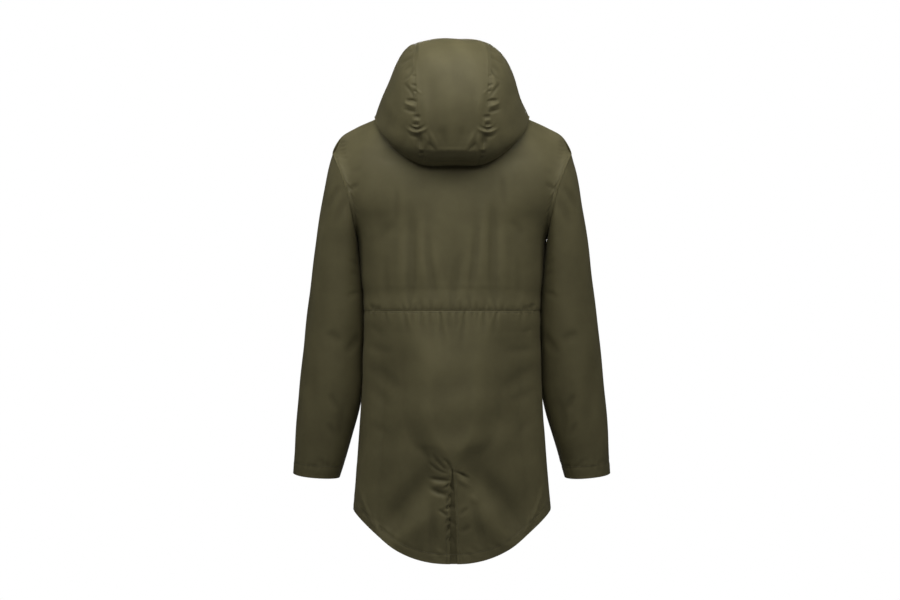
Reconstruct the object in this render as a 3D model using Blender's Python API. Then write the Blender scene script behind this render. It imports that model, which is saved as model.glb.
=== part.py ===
"""An olive parka, filled out as if worn: hood up, sleeves hanging, fishtail back hem with a vent.

Metres, +Z up. The wearer faces -Y, so the back of the garment is on the +Y side. The origin is between
the shoulders, level with the points where the shoulder seams meet the neck, which is where it is held up.

Every cloth piece is a wall between an outer and an inner grid of points. The grids are lofts: rows of the
body, rings of the hood and rings of the sleeves are worked out from the short tables below.
"""

import math
from collections import namedtuple

import bmesh
import bpy
import numpy as np
from mathutils import Matrix

# ---------------------------------------------------------------- sizes

CLOTH = 0.0018  # thickness of the shell cloth with its lining
SEAM_GAP = 0.0004  # between pieces that are sewn together
NECK_GAP = 0.0010  # between the body and the hood's lower edge
WAIST_GATHERS = 18  # gathers that the waist seam draws up across the back
HOOD_ROWS = 26  # rows of the hood, two for each pucker of its long seams
SLEEVE_COLUMNS = 16
STEP = 1e-4  # how far apart the points are that a slope is taken from

# The body's rows are numbered along the side: 0 at the neck, 1 at the tip of the shoulder, 2 at the
# underarm, 3 at the waist and 4 at the hem. back and front say where a row crosses the middle.
BodyRow = namedtuple("BodyRow", "row back_y back_z front_y front_z")
BODY_ROWS = (
    BodyRow(0.00, 0.070, -0.021, -0.084, -0.082),
    BodyRow(0.25, 0.082, -0.043, -0.093, -0.093),
    BodyRow(0.50, 0.092, -0.067, -0.101, -0.106),
    BodyRow(0.75, 0.100, -0.091, -0.108, -0.120),
    BodyRow(1.00, 0.107, -0.116, -0.115, -0.136),
    BodyRow(1.50, 0.118, -0.185, -0.127, -0.197),
    BodyRow(2.00, 0.121, -0.258, -0.130, -0.262),
    BodyRow(2.50, 0.116, -0.330, -0.122, -0.332),
    BodyRow(3.00, 0.107, -0.401, -0.110, -0.402),
    BodyRow(3.50, 0.122, -0.637, -0.117, -0.594),
    BodyRow(4.00, 0.127, -0.883, -0.120, -0.790),
)

# Where the rows end: along the shoulder seam from the neck, and down the side seam from the underarm.
# Between them they end on the armhole, which is the sleeve's first ring.
SidePoint = namedtuple("SidePoint", "row x z")
SHOULDER_SEAM = (
    SidePoint(0.0, 0.078, 0.000),
    SidePoint(0.2, 0.115, -0.013),
    SidePoint(0.4, 0.152, -0.029),
    SidePoint(0.6, 0.187, -0.045),
    SidePoint(0.8, 0.216, -0.063),
    SidePoint(1.0, 0.233, -0.094),
)
SIDE_SEAM = (
    SidePoint(2.0, 0.1840, -0.262),
    SidePoint(2.5, 0.1780, -0.332),
    SidePoint(3.0, 0.1716, -0.402),
    SidePoint(3.5, 0.1775, -0.594),
    SidePoint(4.0, 0.1925, -0.786),
)
BODY_SQUARENESS = 2.4  # 2 gives oval rows, more gives flatter backs and fronts
# Rows near the shoulder seam stop short of a half turn, so that back and front meet there at a ridge.
EASE_ROUNDS = 12  # how often the shoulders are smoothed
RIDGE_TURN = ((0.0, 1.0, 1.6, 2.0), (78.0, 72.0, 72.0, 90.0))

# A sleeve's rings, from the armhole to the cuff: its outer and inner edge, its middle and its half depth.
SleeveRing = namedtuple("SleeveRing", "along outer_x outer_z inner_x inner_z middle_y depth square")
SLEEVE_RINGS = (
    SleeveRing(0.00, 0.2330, -0.0940, 0.1840, -0.2620, 0.000, 0.072, 1.80),
    SleeveRing(0.08, 0.2440, -0.1350, 0.1828, -0.2880, -0.005, 0.074, 1.95),
    SleeveRing(0.18, 0.2540, -0.1900, 0.1788, -0.3220, -0.012, 0.074, 2.10),
    SleeveRing(0.30, 0.2655, -0.2620, 0.1742, -0.3650, -0.017, 0.072, 2.20),
    SleeveRing(0.43, 0.2765, -0.3450, 0.1708, -0.4150, -0.020, 0.069, 2.20),
    SleeveRing(0.56, 0.2875, -0.4400, 0.1718, -0.4780, -0.026, 0.066, 2.20),
    SleeveRing(0.72, 0.2985, -0.5450, 0.1775, -0.5700, -0.032, 0.061, 2.20),
    SleeveRing(0.86, 0.3065, -0.6350, 0.1975, -0.6480, -0.037, 0.054, 2.20),
    SleeveRing(1.00, 0.3110, -0.7195, 0.2210, -0.7270, -0.042, 0.046, 2.20),
)
ARMHOLE_SCOOP = 0.008  # how far the middle of the armhole is cut in towards the neck
ARMHOLE_GAP = 0.0005  # the sleeve stands off the armhole by this much

# The underside of the hood lies on the shoulders and folds where they are at body_row and body_angle.
# angle runs round the hood from the middle of the back (0) to the middle of the front (180).
HoodFold = namedtuple("HoodFold", "angle body_row body_angle lift tip_lift rise")
HOOD_FOLD = (
    HoodFold(0, 1.08, 0.0, 0.0040, 0.0130, 0.0),
    HoodFold(20, 1.07, 13.0, 0.0040, 0.0130, 0.0),
    HoodFold(31, 1.00, 19.0, 0.0040, 0.0125, 0.0),
    HoodFold(45, 0.85, 28.5, 0.0045, 0.0115, 0.0),
    HoodFold(60, 0.64, 44.0, 0.0050, 0.0095, 0.0),
    HoodFold(75, 0.44, 69.0, 0.0052, 0.0078, 0.0),
    HoodFold(90, 0.37, 90.0, 0.0050, 0.0072, 0.0),
    HoodFold(125, 0.18, 125.0, 0.0040, 0.0058, 0.0),
    HoodFold(155, 0.03, 155.0, 0.0016, 0.0030, 0.0015),
    HoodFold(180, 0.00, 180.0, 0.0006, 0.0012, 0.0045),
)
HOOD_UNDERSIDE = ((0.0, 0.0, 0.0), (0.07, 0.5, 0.8), (0.13, 0.96, 1.0))  # along, shares of fold and lift
HOOD_TIP_ALONG = 0.18

# The hood's rings above the fold. Each leans further back than the last, and the last is the face opening.
HoodRing = namedtuple("HoodRing", "along side_x side_y side_z back_y back_z front_y front_z square dip")
HOOD_RINGS = (
    HoodRing(0.24, 0.1500, -0.004, -0.0215, 0.153, -0.109, -0.0905, -0.0740, 2.5, 1.4),
    HoodRing(0.33, 0.1455, -0.012, -0.0090, 0.173, -0.062, -0.0925, -0.0670, 2.5, 1.3),
    HoodRing(0.45, 0.1370, -0.024, 0.0090, 0.176, 0.010, -0.0940, -0.0600, 2.5, 1.2),
    HoodRing(0.57, 0.1265, -0.042, 0.0260, 0.154, 0.073, -0.0950, -0.0530, 2.6, 1.0),
    HoodRing(0.69, 0.1165, -0.061, 0.0400, 0.103, 0.115, -0.0960, -0.0470, 2.7, 1.0),
    HoodRing(0.80, 0.1080, -0.080, 0.0465, 0.030, 0.126, -0.0965, -0.0410, 3.0, 1.0),
    HoodRing(0.90, 0.1010, -0.097, 0.0480, -0.042, 0.123, -0.0970, -0.0350, 2.9, 1.0),
    HoodRing(1.00, 0.0960, -0.110, 0.0440, -0.105, 0.109, -0.0970, -0.0300, 2.7, 1.0),
)
HOOD_SEAM_X = ((0.0, 0.052), (0.18, 0.058), (0.33, 0.070), (0.45, 0.073), (0.7, 0.073), (1.0, 0.067))
HOOD_PUCKER = 0.0016
HOOD_PUCKER_REACH = 0.020

# The front closes with a zip. Its teeth show in a slot between the two fronts.
ZIP_SLOT = 0.0055  # from the middle to the edge of each front
ZIP_CHAIN = 0.0026  # half the width of the closed teeth
ZIP_CHAIN_THICK = 0.0022
ZIP_TAPE_INNER = 0.0030  # from the middle to the edge of the tape beside the teeth
ZIP_TAPE_OUTER = 0.0150
ZIP_TAPE_THICK = 0.0009
ZIP_TAPE_BEHIND = 0.0005  # between the tape and the cloth in front of it
ZIP_BOTTOM = 0.0040  # the teeth start this far above the hem
SLIDER_ALONG = 0.62  # how far up the hood's front edge the slider stands

# The slider's boxes, about the middle of the teeth: from and to, across (x), outwards (n) and upwards (u).
Box = namedtuple("Box", "x0 x1 n0 n1 u0 u1")
SLIDER_BOXES = (
    Box(-0.0045, 0.0045, 0.0015, 0.0026, -0.0060, 0.0060),
    Box(-0.0045, 0.0045, -0.0026, -0.0015, -0.0060, 0.0060),
    Box(-0.0012, 0.0012, -0.0020, 0.0020, 0.0036, 0.0056),
    Box(-0.0010, 0.0010, 0.0020, 0.0056, -0.0048, -0.0034),
    Box(-0.0010, 0.0010, 0.0020, 0.0056, 0.0030, 0.0044),
    Box(-0.0010, 0.0010, 0.0046, 0.0056, -0.0040, 0.0036),
)
CHAIN_TOP = 0.0030  # the teeth stop here inside the slider, below its post
PULL_AXIS = (0.0036, -0.0022)  # the tab's crossbar: outwards and upwards
PULL_LENGTH = 0.0270
PULL_HALF_WIDTH = 0.0034
PULL_THICK = 0.0013
PULL_WINDOW = (0.0018, 0.0007, 0.0062)  # half width, top and bottom below the axis

# The back vent: a slit up the middle from the hem, with a strip of cloth behind it.
VENT_TOP_Z = -0.702
VENT_LEFT_X = 0.0040
VENT_RIGHT_X = -0.0098
VENT_STRIP_TOP = 3.55

Finish = namedtuple("Finish", "colour roughness metallic")
OLIVE = Finish((0.072, 0.066, 0.038, 1.0), 0.62, 0.0)
DARK_TAPE = Finish((0.030, 0.029, 0.022, 1.0), 0.80, 0.0)
METAL = Finish((0.25, 0.24, 0.21, 1.0), 0.35, 1.0)


# ---------------------------------------------------------------- curves and grids


def smooth(knots, values, at):
    """The cubic curve that passes through the values at the knots, read at the given places."""
    knots, values = np.asarray(knots, float), np.asarray(values, float)
    slopes = np.gradient(values, knots, axis=0)
    at = np.clip(np.asarray(at, float), knots[0], knots[-1])
    index = np.clip(np.searchsorted(knots, at, side="right") - 1, 0, len(knots) - 2)
    span = knots[index + 1] - knots[index]
    part = (at - knots[index]) / span
    extra = (1,) * (values.ndim - 1)
    span, part = span.reshape(at.shape + extra), part.reshape(at.shape + extra)
    start, end = values[index], values[index + 1]
    rise, fall = slopes[index] * span, slopes[index + 1] * span
    return (
        start * (2 * part**3 - 3 * part**2 + 1)
        + rise * (part**3 - 2 * part**2 + part)
        + end * (3 * part**2 - 2 * part**3)
        + fall * (part**3 - part**2)
    )


def column(table, knot, name, at):
    """One named column of a table, read as a smooth curve over another of its columns."""
    return smooth([getattr(r, knot) for r in table], [getattr(r, name) for r in table], at)


def power(value, exponent):
    """A power that keeps its sign, so that a curve goes on past its end."""
    return np.sign(value) * np.abs(value) ** exponent


def fade(distance, reach):
    """1 at no distance, falling softly to nothing a few reaches away."""
    return np.exp(-((distance / reach) ** 2))


def normals(surface, rows, columns, row_limits):
    """Unit normals of a surface, from the slope along its rows and its columns."""
    later = np.clip(rows + STEP, *row_limits)
    earlier = np.clip(rows - STEP, *row_limits)
    along = surface(later, columns) - surface(earlier, columns)
    across = surface(rows, columns + STEP) - surface(rows, columns - STEP)
    cross = np.cross(along, across)
    return cross / np.linalg.norm(cross, axis=-1, keepdims=True)


# ---------------------------------------------------------------- the sleeve and the body


def sleeve_point(along, angle):
    """A point of the left sleeve. angle is 0 at its outer edge, 90 at the back and 180 at its inner edge."""
    outer_x, outer_z, inner_x, inner_z, middle_y, depth, square = (
        column(SLEEVE_RINGS, "along", name, along) for name in SleeveRing._fields[1:]
    )
    turn = np.radians(angle)
    across = power(np.cos(turn), 2 / square)
    back = power(np.sin(turn), 2 / square)
    scoop = ARMHOLE_SCOOP * np.sin(turn) ** 2 * np.clip(1 - along / 0.25, 0, 1)
    # A ring leans with the arm, which hangs a little forward.
    lean = 0.5 * depth * back * np.clip(along, 0, 1) * 0.19
    x = (outer_x + inner_x) / 2 + (outer_x - inner_x) / 2 * across - scoop
    y = middle_y + depth * back
    z = (outer_z + inner_z) / 2 + (outer_z - inner_z) / 2 * across - lean
    return np.stack([x, y, z], axis=-1)


def side_point(row, front):
    """Where a row of the body ends: on the shoulder seam, the armhole or the side seam."""
    row = np.asarray(row, float)
    shoulder, side = np.clip(row, 0, 1), np.clip(row, 2, 4)
    turn = 180 * np.clip(row - 1, 0, 1)
    armhole = sleeve_point(np.zeros_like(row), np.where(front, 360 - turn, turn))
    above, below = row <= 1, row >= 2
    x = np.where(above, column(SHOULDER_SEAM, "row", "x", shoulder), armhole[..., 0])
    z = np.where(above, column(SHOULDER_SEAM, "row", "z", shoulder), armhole[..., 2])
    x = np.where(below, column(SIDE_SEAM, "row", "x", side), x)
    z = np.where(below, column(SIDE_SEAM, "row", "z", side), z)
    y = np.where(above | below, 0.0, armhole[..., 1])
    return x, y, z


def body_row(row, front):
    """A row's end and middle, and how far its superellipse turns before the end."""
    side = "front" if front else "back"
    middle_y = column(BODY_ROWS, "row", side + "_y", row)
    middle_z = column(BODY_ROWS, "row", side + "_z", row)
    end_x, end_y, end_z = side_point(row, front)
    whole = np.arccos(np.clip(end_y / middle_y, 0, 1) ** (BODY_SQUARENESS / 2))
    most = np.minimum(whole, np.radians(np.interp(row, *RIDGE_TURN)))
    return middle_y, middle_z, end_x, end_y, end_z, most


def body_point(row, angle, front):
    """A point of the body's surface. angle is 0 in the middle and 90 where the row ends at the side."""
    middle_y, middle_z, end_x, end_y, end_z, most = body_row(row, front)
    turn = np.asarray(angle, float) / 90 * most
    across = power(np.sin(turn), 2 / BODY_SQUARENESS) / np.sin(most) ** (2 / BODY_SQUARENESS)
    deep = power(np.cos(turn), 2 / BODY_SQUARENESS)
    last = np.clip(np.cos(most), 0, 1) ** (2 / BODY_SQUARENESS)
    y = end_y + (middle_y - end_y) * (deep - last) / (1 - last)
    z = middle_z + (end_z - middle_z) * (1 - np.abs(deep) ** BODY_SQUARENESS) / np.sin(most) ** 2
    return np.stack([end_x * across, y, z], axis=-1)


def back_point(row, angle):
    return body_point(row, angle, False)


def front_point(row, angle):
    return body_point(row, angle, True)


def back_normal(row, angle):
    return -normals(back_point, row, angle, (0.0, 4.0))


def front_normal(row, angle):
    return normals(front_point, row, angle, (0.0, 4.0))


def angle_at_x(row, x):
    """The angle at which a row of the front is this far from the middle."""
    _, _, end_x, _, _, most = body_row(row, True)
    half_width = end_x / np.sin(most) ** (2 / BODY_SQUARENESS)
    return 90 * np.arcsin((x / half_width) ** (BODY_SQUARENESS / 2)) / most


def eased_shoulder(points, row, angle):
    """A body grid with the crease at the tip of the shoulder eased out. Its edges stay where they are."""
    near_tip = fade(row[1:-1, 1:-1] - 1.05, 0.45) * np.clip(np.abs(angle[1:-1, 1:-1]) / 40 - 0.9, 0, 1)
    points = points.copy()
    for _ in range(EASE_ROUNDS):
        middle = (points[:-2, 1:-1] + points[2:, 1:-1] + points[1:-1, :-2] + points[1:-1, 2:]) / 4
        points[1:-1, 1:-1] += (middle - points[1:-1, 1:-1]) * near_tip[..., None]
    return points


def grid_normals(points, like):
    """Unit normals of a grid from its neighbours, on the same side as the ones given."""
    cross = np.cross(np.gradient(points, axis=0), np.gradient(points, axis=1))
    cross /= np.maximum(np.linalg.norm(cross, axis=-1, keepdims=True), 1e-12)
    return cross * np.sign(np.sum(cross * like, axis=-1, keepdims=True))


# ---------------------------------------------------------------- the hood


def neck_or_shoulder(row, angle):
    """A point of the body by its angle round the neck: 0 at the back, 90 at the side, 180 at the front."""
    back = back_point(row, angle)
    front = front_point(row, 180 - angle)
    return np.where((angle <= 90)[..., None], back, front)


def shoulder_normal(row, angle):
    """The normal of the body by the same angle, eased over the ridge of the shoulder."""
    back_share = np.clip((110 - angle) / 40, 0, 1)[..., None]
    back = back_normal(row, np.minimum(angle, 90))
    front = front_normal(row, np.minimum(180 - angle, 90))
    middle = back * back_share + front * (1 - back_share)
    return middle / np.linalg.norm(middle, axis=-1, keepdims=True)


def hood_point(along, angle):
    """A point of the hood. along runs from the neck seam (0) to the face opening (1)."""
    fold_row, fold_angle, lift, tip_lift, rise = (
        column(HOOD_FOLD, "angle", name, angle) for name in HoodFold._fields[1:]
    )
    knots, stations = [], []
    for place, share, lift_share in HOOD_UNDERSIDE:
        row = fold_row * share
        turn = angle + (fold_angle - angle) * share
        stand_off = NECK_GAP + lift * lift_share
        point = neck_or_shoulder(row, turn) + stand_off[..., None] * shoulder_normal(row, turn)
        point[..., 2] += rise * share
        knots.append(place)
        stations.append(point)
    normal = shoulder_normal(fold_row, fold_angle)
    point = neck_or_shoulder(fold_row, fold_angle) + tip_lift[..., None] * normal
    point[..., 2] += rise * 1.35
    knots.append(HOOD_TIP_ALONG)
    stations.append(point)
    turn = np.radians(angle)
    behind = np.cos(turn) >= 0
    for ring in HOOD_RINGS:
        across = power(np.sin(turn), 2 / ring.square)
        deep = np.abs(np.cos(turn)) ** (2 / ring.square)
        end_y = np.where(behind, ring.back_y, ring.front_y)
        end_z = np.where(behind, ring.back_z, ring.front_z)
        y = ring.side_y + (end_y - ring.side_y) * deep
        z = ring.side_z + (end_z - ring.side_z) * deep**ring.dip
        knots.append(ring.along)
        stations.append(np.stack([ring.side_x * across, y, z], axis=-1))
    weights = smooth(knots, np.eye(len(knots)), along)
    return np.einsum("...k,k...d->...d", weights, np.stack(stations))


def hood_seam_angle(along):
    """The angle of the long seam between the hood's middle strip and its sides."""
    seam_x = smooth(*np.transpose(HOOD_SEAM_X), along)
    places = [0.0, HOOD_TIP_ALONG] + [r.along for r in HOOD_RINGS]
    half_width = np.interp(along, places, [0.078, 0.151] + [r.side_x for r in HOOD_RINGS])
    return np.degrees(np.arcsin((seam_x / half_width) ** 1.25))


def hood_side_angle(along, share):
    """The angle at a share of the way from the long seam to the zip's slot."""
    knots = np.linspace(0, 1, 41)
    near = 180 - np.linspace(0.2, 20, 120)
    place, turn = np.meshgrid(knots, near, indexing="ij")
    x = hood_point(place, turn)[..., 0]
    stops = [np.interp(ZIP_SLOT, x[i], near) for i in range(len(knots))]
    start = hood_seam_angle(along)
    return start + (np.interp(along, knots, stops) - start) * share


# ---------------------------------------------------------------- folds


def back_folds(points, angle):
    """How far the back stands out: gathers at the waist seam, soft vertical folds and the hem's lobes."""
    x, z = points[..., 0], points[..., 2]
    from_waist = z - BODY_ROWS[8].back_z
    gathers = np.cos(2 * math.pi * WAIST_GATHERS * (angle / 180 + 0.5)) * np.where(
        from_waist > 0, fade(from_waist, 0.034), fade(from_waist, 0.026)
    )
    drape = np.cos(2 * math.pi * x / 0.072) * fade(x, 0.11) * fade(from_waist - 0.06, 0.12)
    lobes = fade(np.abs(x) - 0.105, 0.045) * fade(z + 0.755, 0.085)
    ridge = fade(x, 0.05) * fade(z + 0.56, 0.12)
    below_vent = np.clip((VENT_TOP_Z - z) / 0.02, 0, 1)
    pull = fade(x, 0.03) * fade(z - VENT_TOP_Z, 0.03) * (1 - below_vent)
    return 0.0018 * gathers + 0.0026 * drape - 0.0060 * lobes + 0.0030 * ridge - 0.0020 * pull


def sleeve_folds(along, angle):
    """Slanting drag folds round the elbow and above the cuff."""
    turn = np.radians(angle)
    inner = np.clip(-np.cos(turn), 0, 1)
    elbow = (np.cos(2 * math.pi * (along * 9 + angle / 360)) - 1) / 2 * fade(along - 0.62, 0.16) * inner
    cuff = np.cos(2 * math.pi * (along * 11 - angle / 240)) * fade(along - 0.86, 0.07)
    return 0.0040 * elbow + 0.0010 * cuff


def hood_folds(along, angle):
    """Puckers along the two long seams, one for every two rows."""
    from_seam = np.radians(np.abs(angle) - hood_seam_angle(along)) * 0.12
    puckers = np.cos(math.pi * HOOD_ROWS * along)
    ends = np.clip(along / 0.3 - 0.6, 0, 1) * np.clip((1 - along) / 0.1, 0, 1)
    return HOOD_PUCKER * puckers * ends * fade(from_seam, HOOD_PUCKER_REACH)


# ---------------------------------------------------------------- walls


def principled(name, finish):
    """The piece's own material, with a finish's colour, roughness and metallic value."""
    material = bpy.data.materials.new(name)
    material.use_nodes = True
    shader = material.node_tree.nodes["Principled BSDF"]
    shader.inputs["Base Color"].default_value = finish.colour
    shader.inputs["Roughness"].default_value = finish.roughness
    shader.inputs["Metallic"].default_value = finish.metallic
    material.diffuse_color = finish.colour
    return material


def add_object(name, mesh, finish, collection):
    obj = bpy.data.objects.new(name, mesh)
    mesh.materials.append(principled(name, finish))
    mesh.shade_smooth()
    mesh.set_sharp_from_angle(angle=math.radians(35))
    collection.objects.link(obj)
    return obj


def grid_quads(rows, columns, loop=False):
    """The faces of a grid of points, numbered row by row. loop joins the last column to the first."""
    row, col = np.meshgrid(np.arange(rows - 1), np.arange(columns - (not loop)), indexing="ij")
    right = (col + 1) % columns
    below = row + 1
    corners = [row * columns + col, row * columns + right, below * columns + right, below * columns + col]
    return np.stack([c.ravel() for c in corners], axis=1)


def wall_mesh(name, outer, inner, quads):
    """A closed wall: the outer face, the inner face, and a rim round every open edge."""
    edges = np.concatenate([quads[:, [i, (i + 1) % 4]] for i in range(4)])
    key = np.sort(edges, axis=1)
    _, index, count = np.unique(key, axis=0, return_inverse=True, return_counts=True)
    open_edges = edges[count[index.reshape(-1)] == 1]
    shift = len(outer)
    # Rims that face each other across a seam are split along the same diagonal, so that they stay apart.
    height = outer @ np.array([0.01, 0.1, 1.0])
    upright = height[open_edges[:, 0]] < height[open_edges[:, 1]]
    start, end = open_edges[:, 0], open_edges[:, 1]
    rising = np.stack([end, start, end + shift, start, start + shift, end + shift], axis=1)
    falling = np.stack([end, start, start + shift, end, start + shift, end + shift], axis=1)
    rim = np.where(upright[:, None], rising, falling).reshape(-1, 3)
    faces = quads.tolist() + (quads[:, ::-1] + shift).tolist() + rim.tolist()
    mesh = bpy.data.meshes.new(name)
    mesh.from_pydata(np.concatenate([outer, inner]).tolist(), [], faces)
    build = bmesh.new()
    build.from_mesh(mesh)
    bmesh.ops.recalc_face_normals(build, faces=build.faces)
    build.to_mesh(mesh)
    build.free()
    return mesh


def trim(points, rows=(0, 0), columns=(0, 0)):
    """Moves the first and last row and column in from a seam, by half the gap."""
    points = points.copy()
    for axis, (first, last) in enumerate((rows, columns)):
        view = np.moveaxis(points, axis, 0)
        for wanted, edge, inside in ((first, 0, 1), (last, -1, -2)):
            if wanted:
                inward = view[inside] - view[edge]
                inward /= np.maximum(np.linalg.norm(inward, axis=-1, keepdims=True), 1e-9)
                view[edge] += inward * SEAM_GAP / 2
    return points


def cloth_wall(name, base, outward, folds, seams, loop=False, thickness=CLOTH, through=None):
    """A wall from its base points: folded along the normals, cut back at its seams and given its thickness.

    through is the way the thickness goes, where that is not straight down from the surface.
    """
    outer = base + outward * folds[..., None]
    inner = outer - (outward if through is None else through) * thickness
    if not loop:
        outer, inner = (trim(points, *seams) for points in (outer, inner))
    rows, columns = base.shape[:2]
    return wall_mesh(name, outer.reshape(-1, 3), inner.reshape(-1, 3), grid_quads(rows, columns, loop))


def shared_rim(own, *others):
    """The way through the cloth at a seam: between the normals of the pieces where they meet at a ridge."""
    middle = own + sum(others)
    middle /= np.maximum(np.linalg.norm(middle, axis=-1, keepdims=True), 1e-6)
    lean = np.sum(middle * own, axis=-1, keepdims=True)
    return np.where(lean > 0.70, middle / np.maximum(lean, 0.70), own)


def armhole_normals(row):
    """Normals at the armhole: the back's, the front's and the sleeve's on either side of it."""
    ends = np.full_like(row, 90.0)
    turn = 180 * (row - 1)
    start = np.zeros_like(row)
    sleeve = [normals(sleeve_point, start, t, (0.0, 1.0)) for t in (turn, 360 - turn)]
    return back_normal(row, ends), front_normal(row, ends), *sleeve


def body_rims(row, angle, outward, front):
    """The body's way through, changed where its rows end on a shoulder seam or an armhole."""
    through = outward.copy()
    at_end = (np.abs(np.abs(angle) - 90) < 1e-6) & (row <= 2)
    ends = row[at_end]
    back, fore, behind, before = armhole_normals(np.clip(ends, 1, 2))
    sleeve = before if front else behind
    neighbour = back_normal if front else front_normal
    other = neighbour(ends, np.full_like(ends, 90.0))
    side = np.where(angle[at_end] < 0, -1.0, 1.0)[:, None] * np.array([1.0, 0, 0]) + np.array([0, 1.0, 1.0])
    on_seam = shared_rim(outward[at_end], other * side)
    at_tip = shared_rim(outward[at_end], other * side, sleeve * side)
    on_armhole = shared_rim(outward[at_end], sleeve * side)
    place = ends[:, None]
    through[at_end] = np.where(place < 0.999, on_seam, np.where(place < 1.001, at_tip, on_armhole))
    return through


def mirrored(points):
    return points * np.array([-1.0, 1.0, 1.0])


# ---------------------------------------------------------------- the cloth pieces

SHOULDER_STEPS = np.linspace(0, 1, 6)
ARMHOLE_STEPS = 1 + np.arange(1, SLEEVE_COLUMNS // 2 + 1) / (SLEEVE_COLUMNS // 2)
TO_WAIST = np.array([2.35, 2.65, 2.82, 2.93, 3.0])
TO_HEM = np.array([3.0, 3.02, 3.06, 3.12, 3.2, 3.32, 3.44, 3.54, 3.635, 3.72, 3.82, 3.91, 4.0])
BACK_COLUMNS = np.linspace(-90, 90, 2 * WAIST_GATHERS + 1)
FRONT_ROWS = np.concatenate([SHOULDER_STEPS, ARMHOLE_STEPS, [2.33, 2.66, 3.0, 3.25, 3.5, 3.75, 4.0]])
FRONT_COLUMNS = np.linspace(0, 1, 11)
HOOD_STEPS = np.linspace(0, 1, HOOD_ROWS + 1)
HOOD_COLUMNS = np.linspace(0, 1, 14)


def back_upper(finish, collection):
    rows = np.concatenate([SHOULDER_STEPS, ARMHOLE_STEPS, TO_WAIST])
    row, angle = np.meshgrid(rows, BACK_COLUMNS, indexing="ij")
    sharp = back_normal(row, angle)
    base = eased_shoulder(back_point(row, angle), row, angle)
    outward = sharp.copy()
    outward[1:-1, 1:-1] = grid_normals(base, sharp)[1:-1, 1:-1]
    through = body_rims(row, angle, outward, False)
    mesh = cloth_wall("back_upper", base, outward, back_folds(base, angle), ((1, 1), (1, 1)), through=through)
    return add_object("back_upper", mesh, finish, collection)


def back_lower(finish, collection):
    """The lower back, in one piece. Below the vent's top its middle column is two, the edges of the slit."""
    row, angle = np.meshgrid(TO_HEM, BACK_COLUMNS, indexing="ij")
    base = back_point(row, angle)
    outward = back_normal(row, angle)
    outer = base + outward * back_folds(base, angle)[..., None]
    inner = outer - outward * CLOTH
    outer, inner = (trim(points, (1, 0), (1, 1)) for points in (outer, inner))
    rows, columns = base.shape[:2]
    middle = columns // 2
    quads = grid_quads(rows, columns)
    first_split = int(np.argmax(base[:, middle, 2] < VENT_TOP_Z))
    split = np.arange(first_split, rows)
    # The share of the full opening, which grows from nothing at the vent's top.
    top_z, hem_z = base[first_split - 1, middle, 2], base[-1, middle, 2]
    opening = (base[split, middle, 2] - top_z) / (hem_z - top_z)
    copies = []
    for points in (outer, inner):
        second = points[split, middle].copy()
        second[:, 0] = VENT_LEFT_X * opening
        points[split, middle, 0] = VENT_RIGHT_X * opening
        copies.append(second)
    # Faces on the left of the middle take the second copy of the slit's points.
    swap = {int(r * columns + middle): rows * columns + i for i, r in enumerate(split)}
    on_left = (quads % columns >= middle).all(axis=1)
    for old, new in swap.items():
        quads[on_left] = np.where(quads[on_left] == old, new, quads[on_left])
    outer = np.concatenate([outer.reshape(-1, 3), copies[0]])
    inner = np.concatenate([inner.reshape(-1, 3), copies[1]])
    return add_object("back_lower", wall_mesh("back_lower", outer, inner, quads), finish, collection)


def vent_underlap(finish, collection):
    """The strip behind the vent, made from the lower back's own points, moved in."""
    rows = np.concatenate([[VENT_STRIP_TOP], TO_HEM[TO_HEM > VENT_STRIP_TOP]])
    beside = 90 / WAIST_GATHERS
    row, angle = np.meshgrid(rows, [-beside, 0, beside], indexing="ij")
    base = back_point(row, angle)
    outward = back_normal(row, angle)
    behind = back_folds(base, angle) - CLOTH - 2 * SEAM_GAP
    base = base * np.array([0.96, 1, 1])
    base[-1, :, 2] += 0.0004
    mesh = cloth_wall("vent_underlap", base, outward, behind, ((0, 0), (0, 0)), thickness=0.0010)
    return add_object("vent_underlap", mesh, finish, collection)


def fronts(finish, collection):
    row, share = np.meshgrid(FRONT_ROWS, FRONT_COLUMNS, indexing="ij")
    start = angle_at_x(row, ZIP_SLOT)
    angle = start + (90 - start) * share
    sharp = front_normal(row, angle)
    base = eased_shoulder(front_point(row, angle), row, angle)
    outward = sharp.copy()
    outward[1:-1, 1:-1] = grid_normals(base, sharp)[1:-1, 1:-1]
    through = body_rims(row, angle, outward, True)
    folds = np.zeros(base.shape[:2])
    seams = ((1, 0), (0, 1))
    left = cloth_wall("front_left", base, outward, folds, seams, through=through)
    flipped = mirrored(base), mirrored(outward)
    right = cloth_wall("front_right", *flipped, folds, seams, through=mirrored(through))
    add_object("front_left", left, finish, collection)
    add_object("front_right", right, finish, collection)


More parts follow.
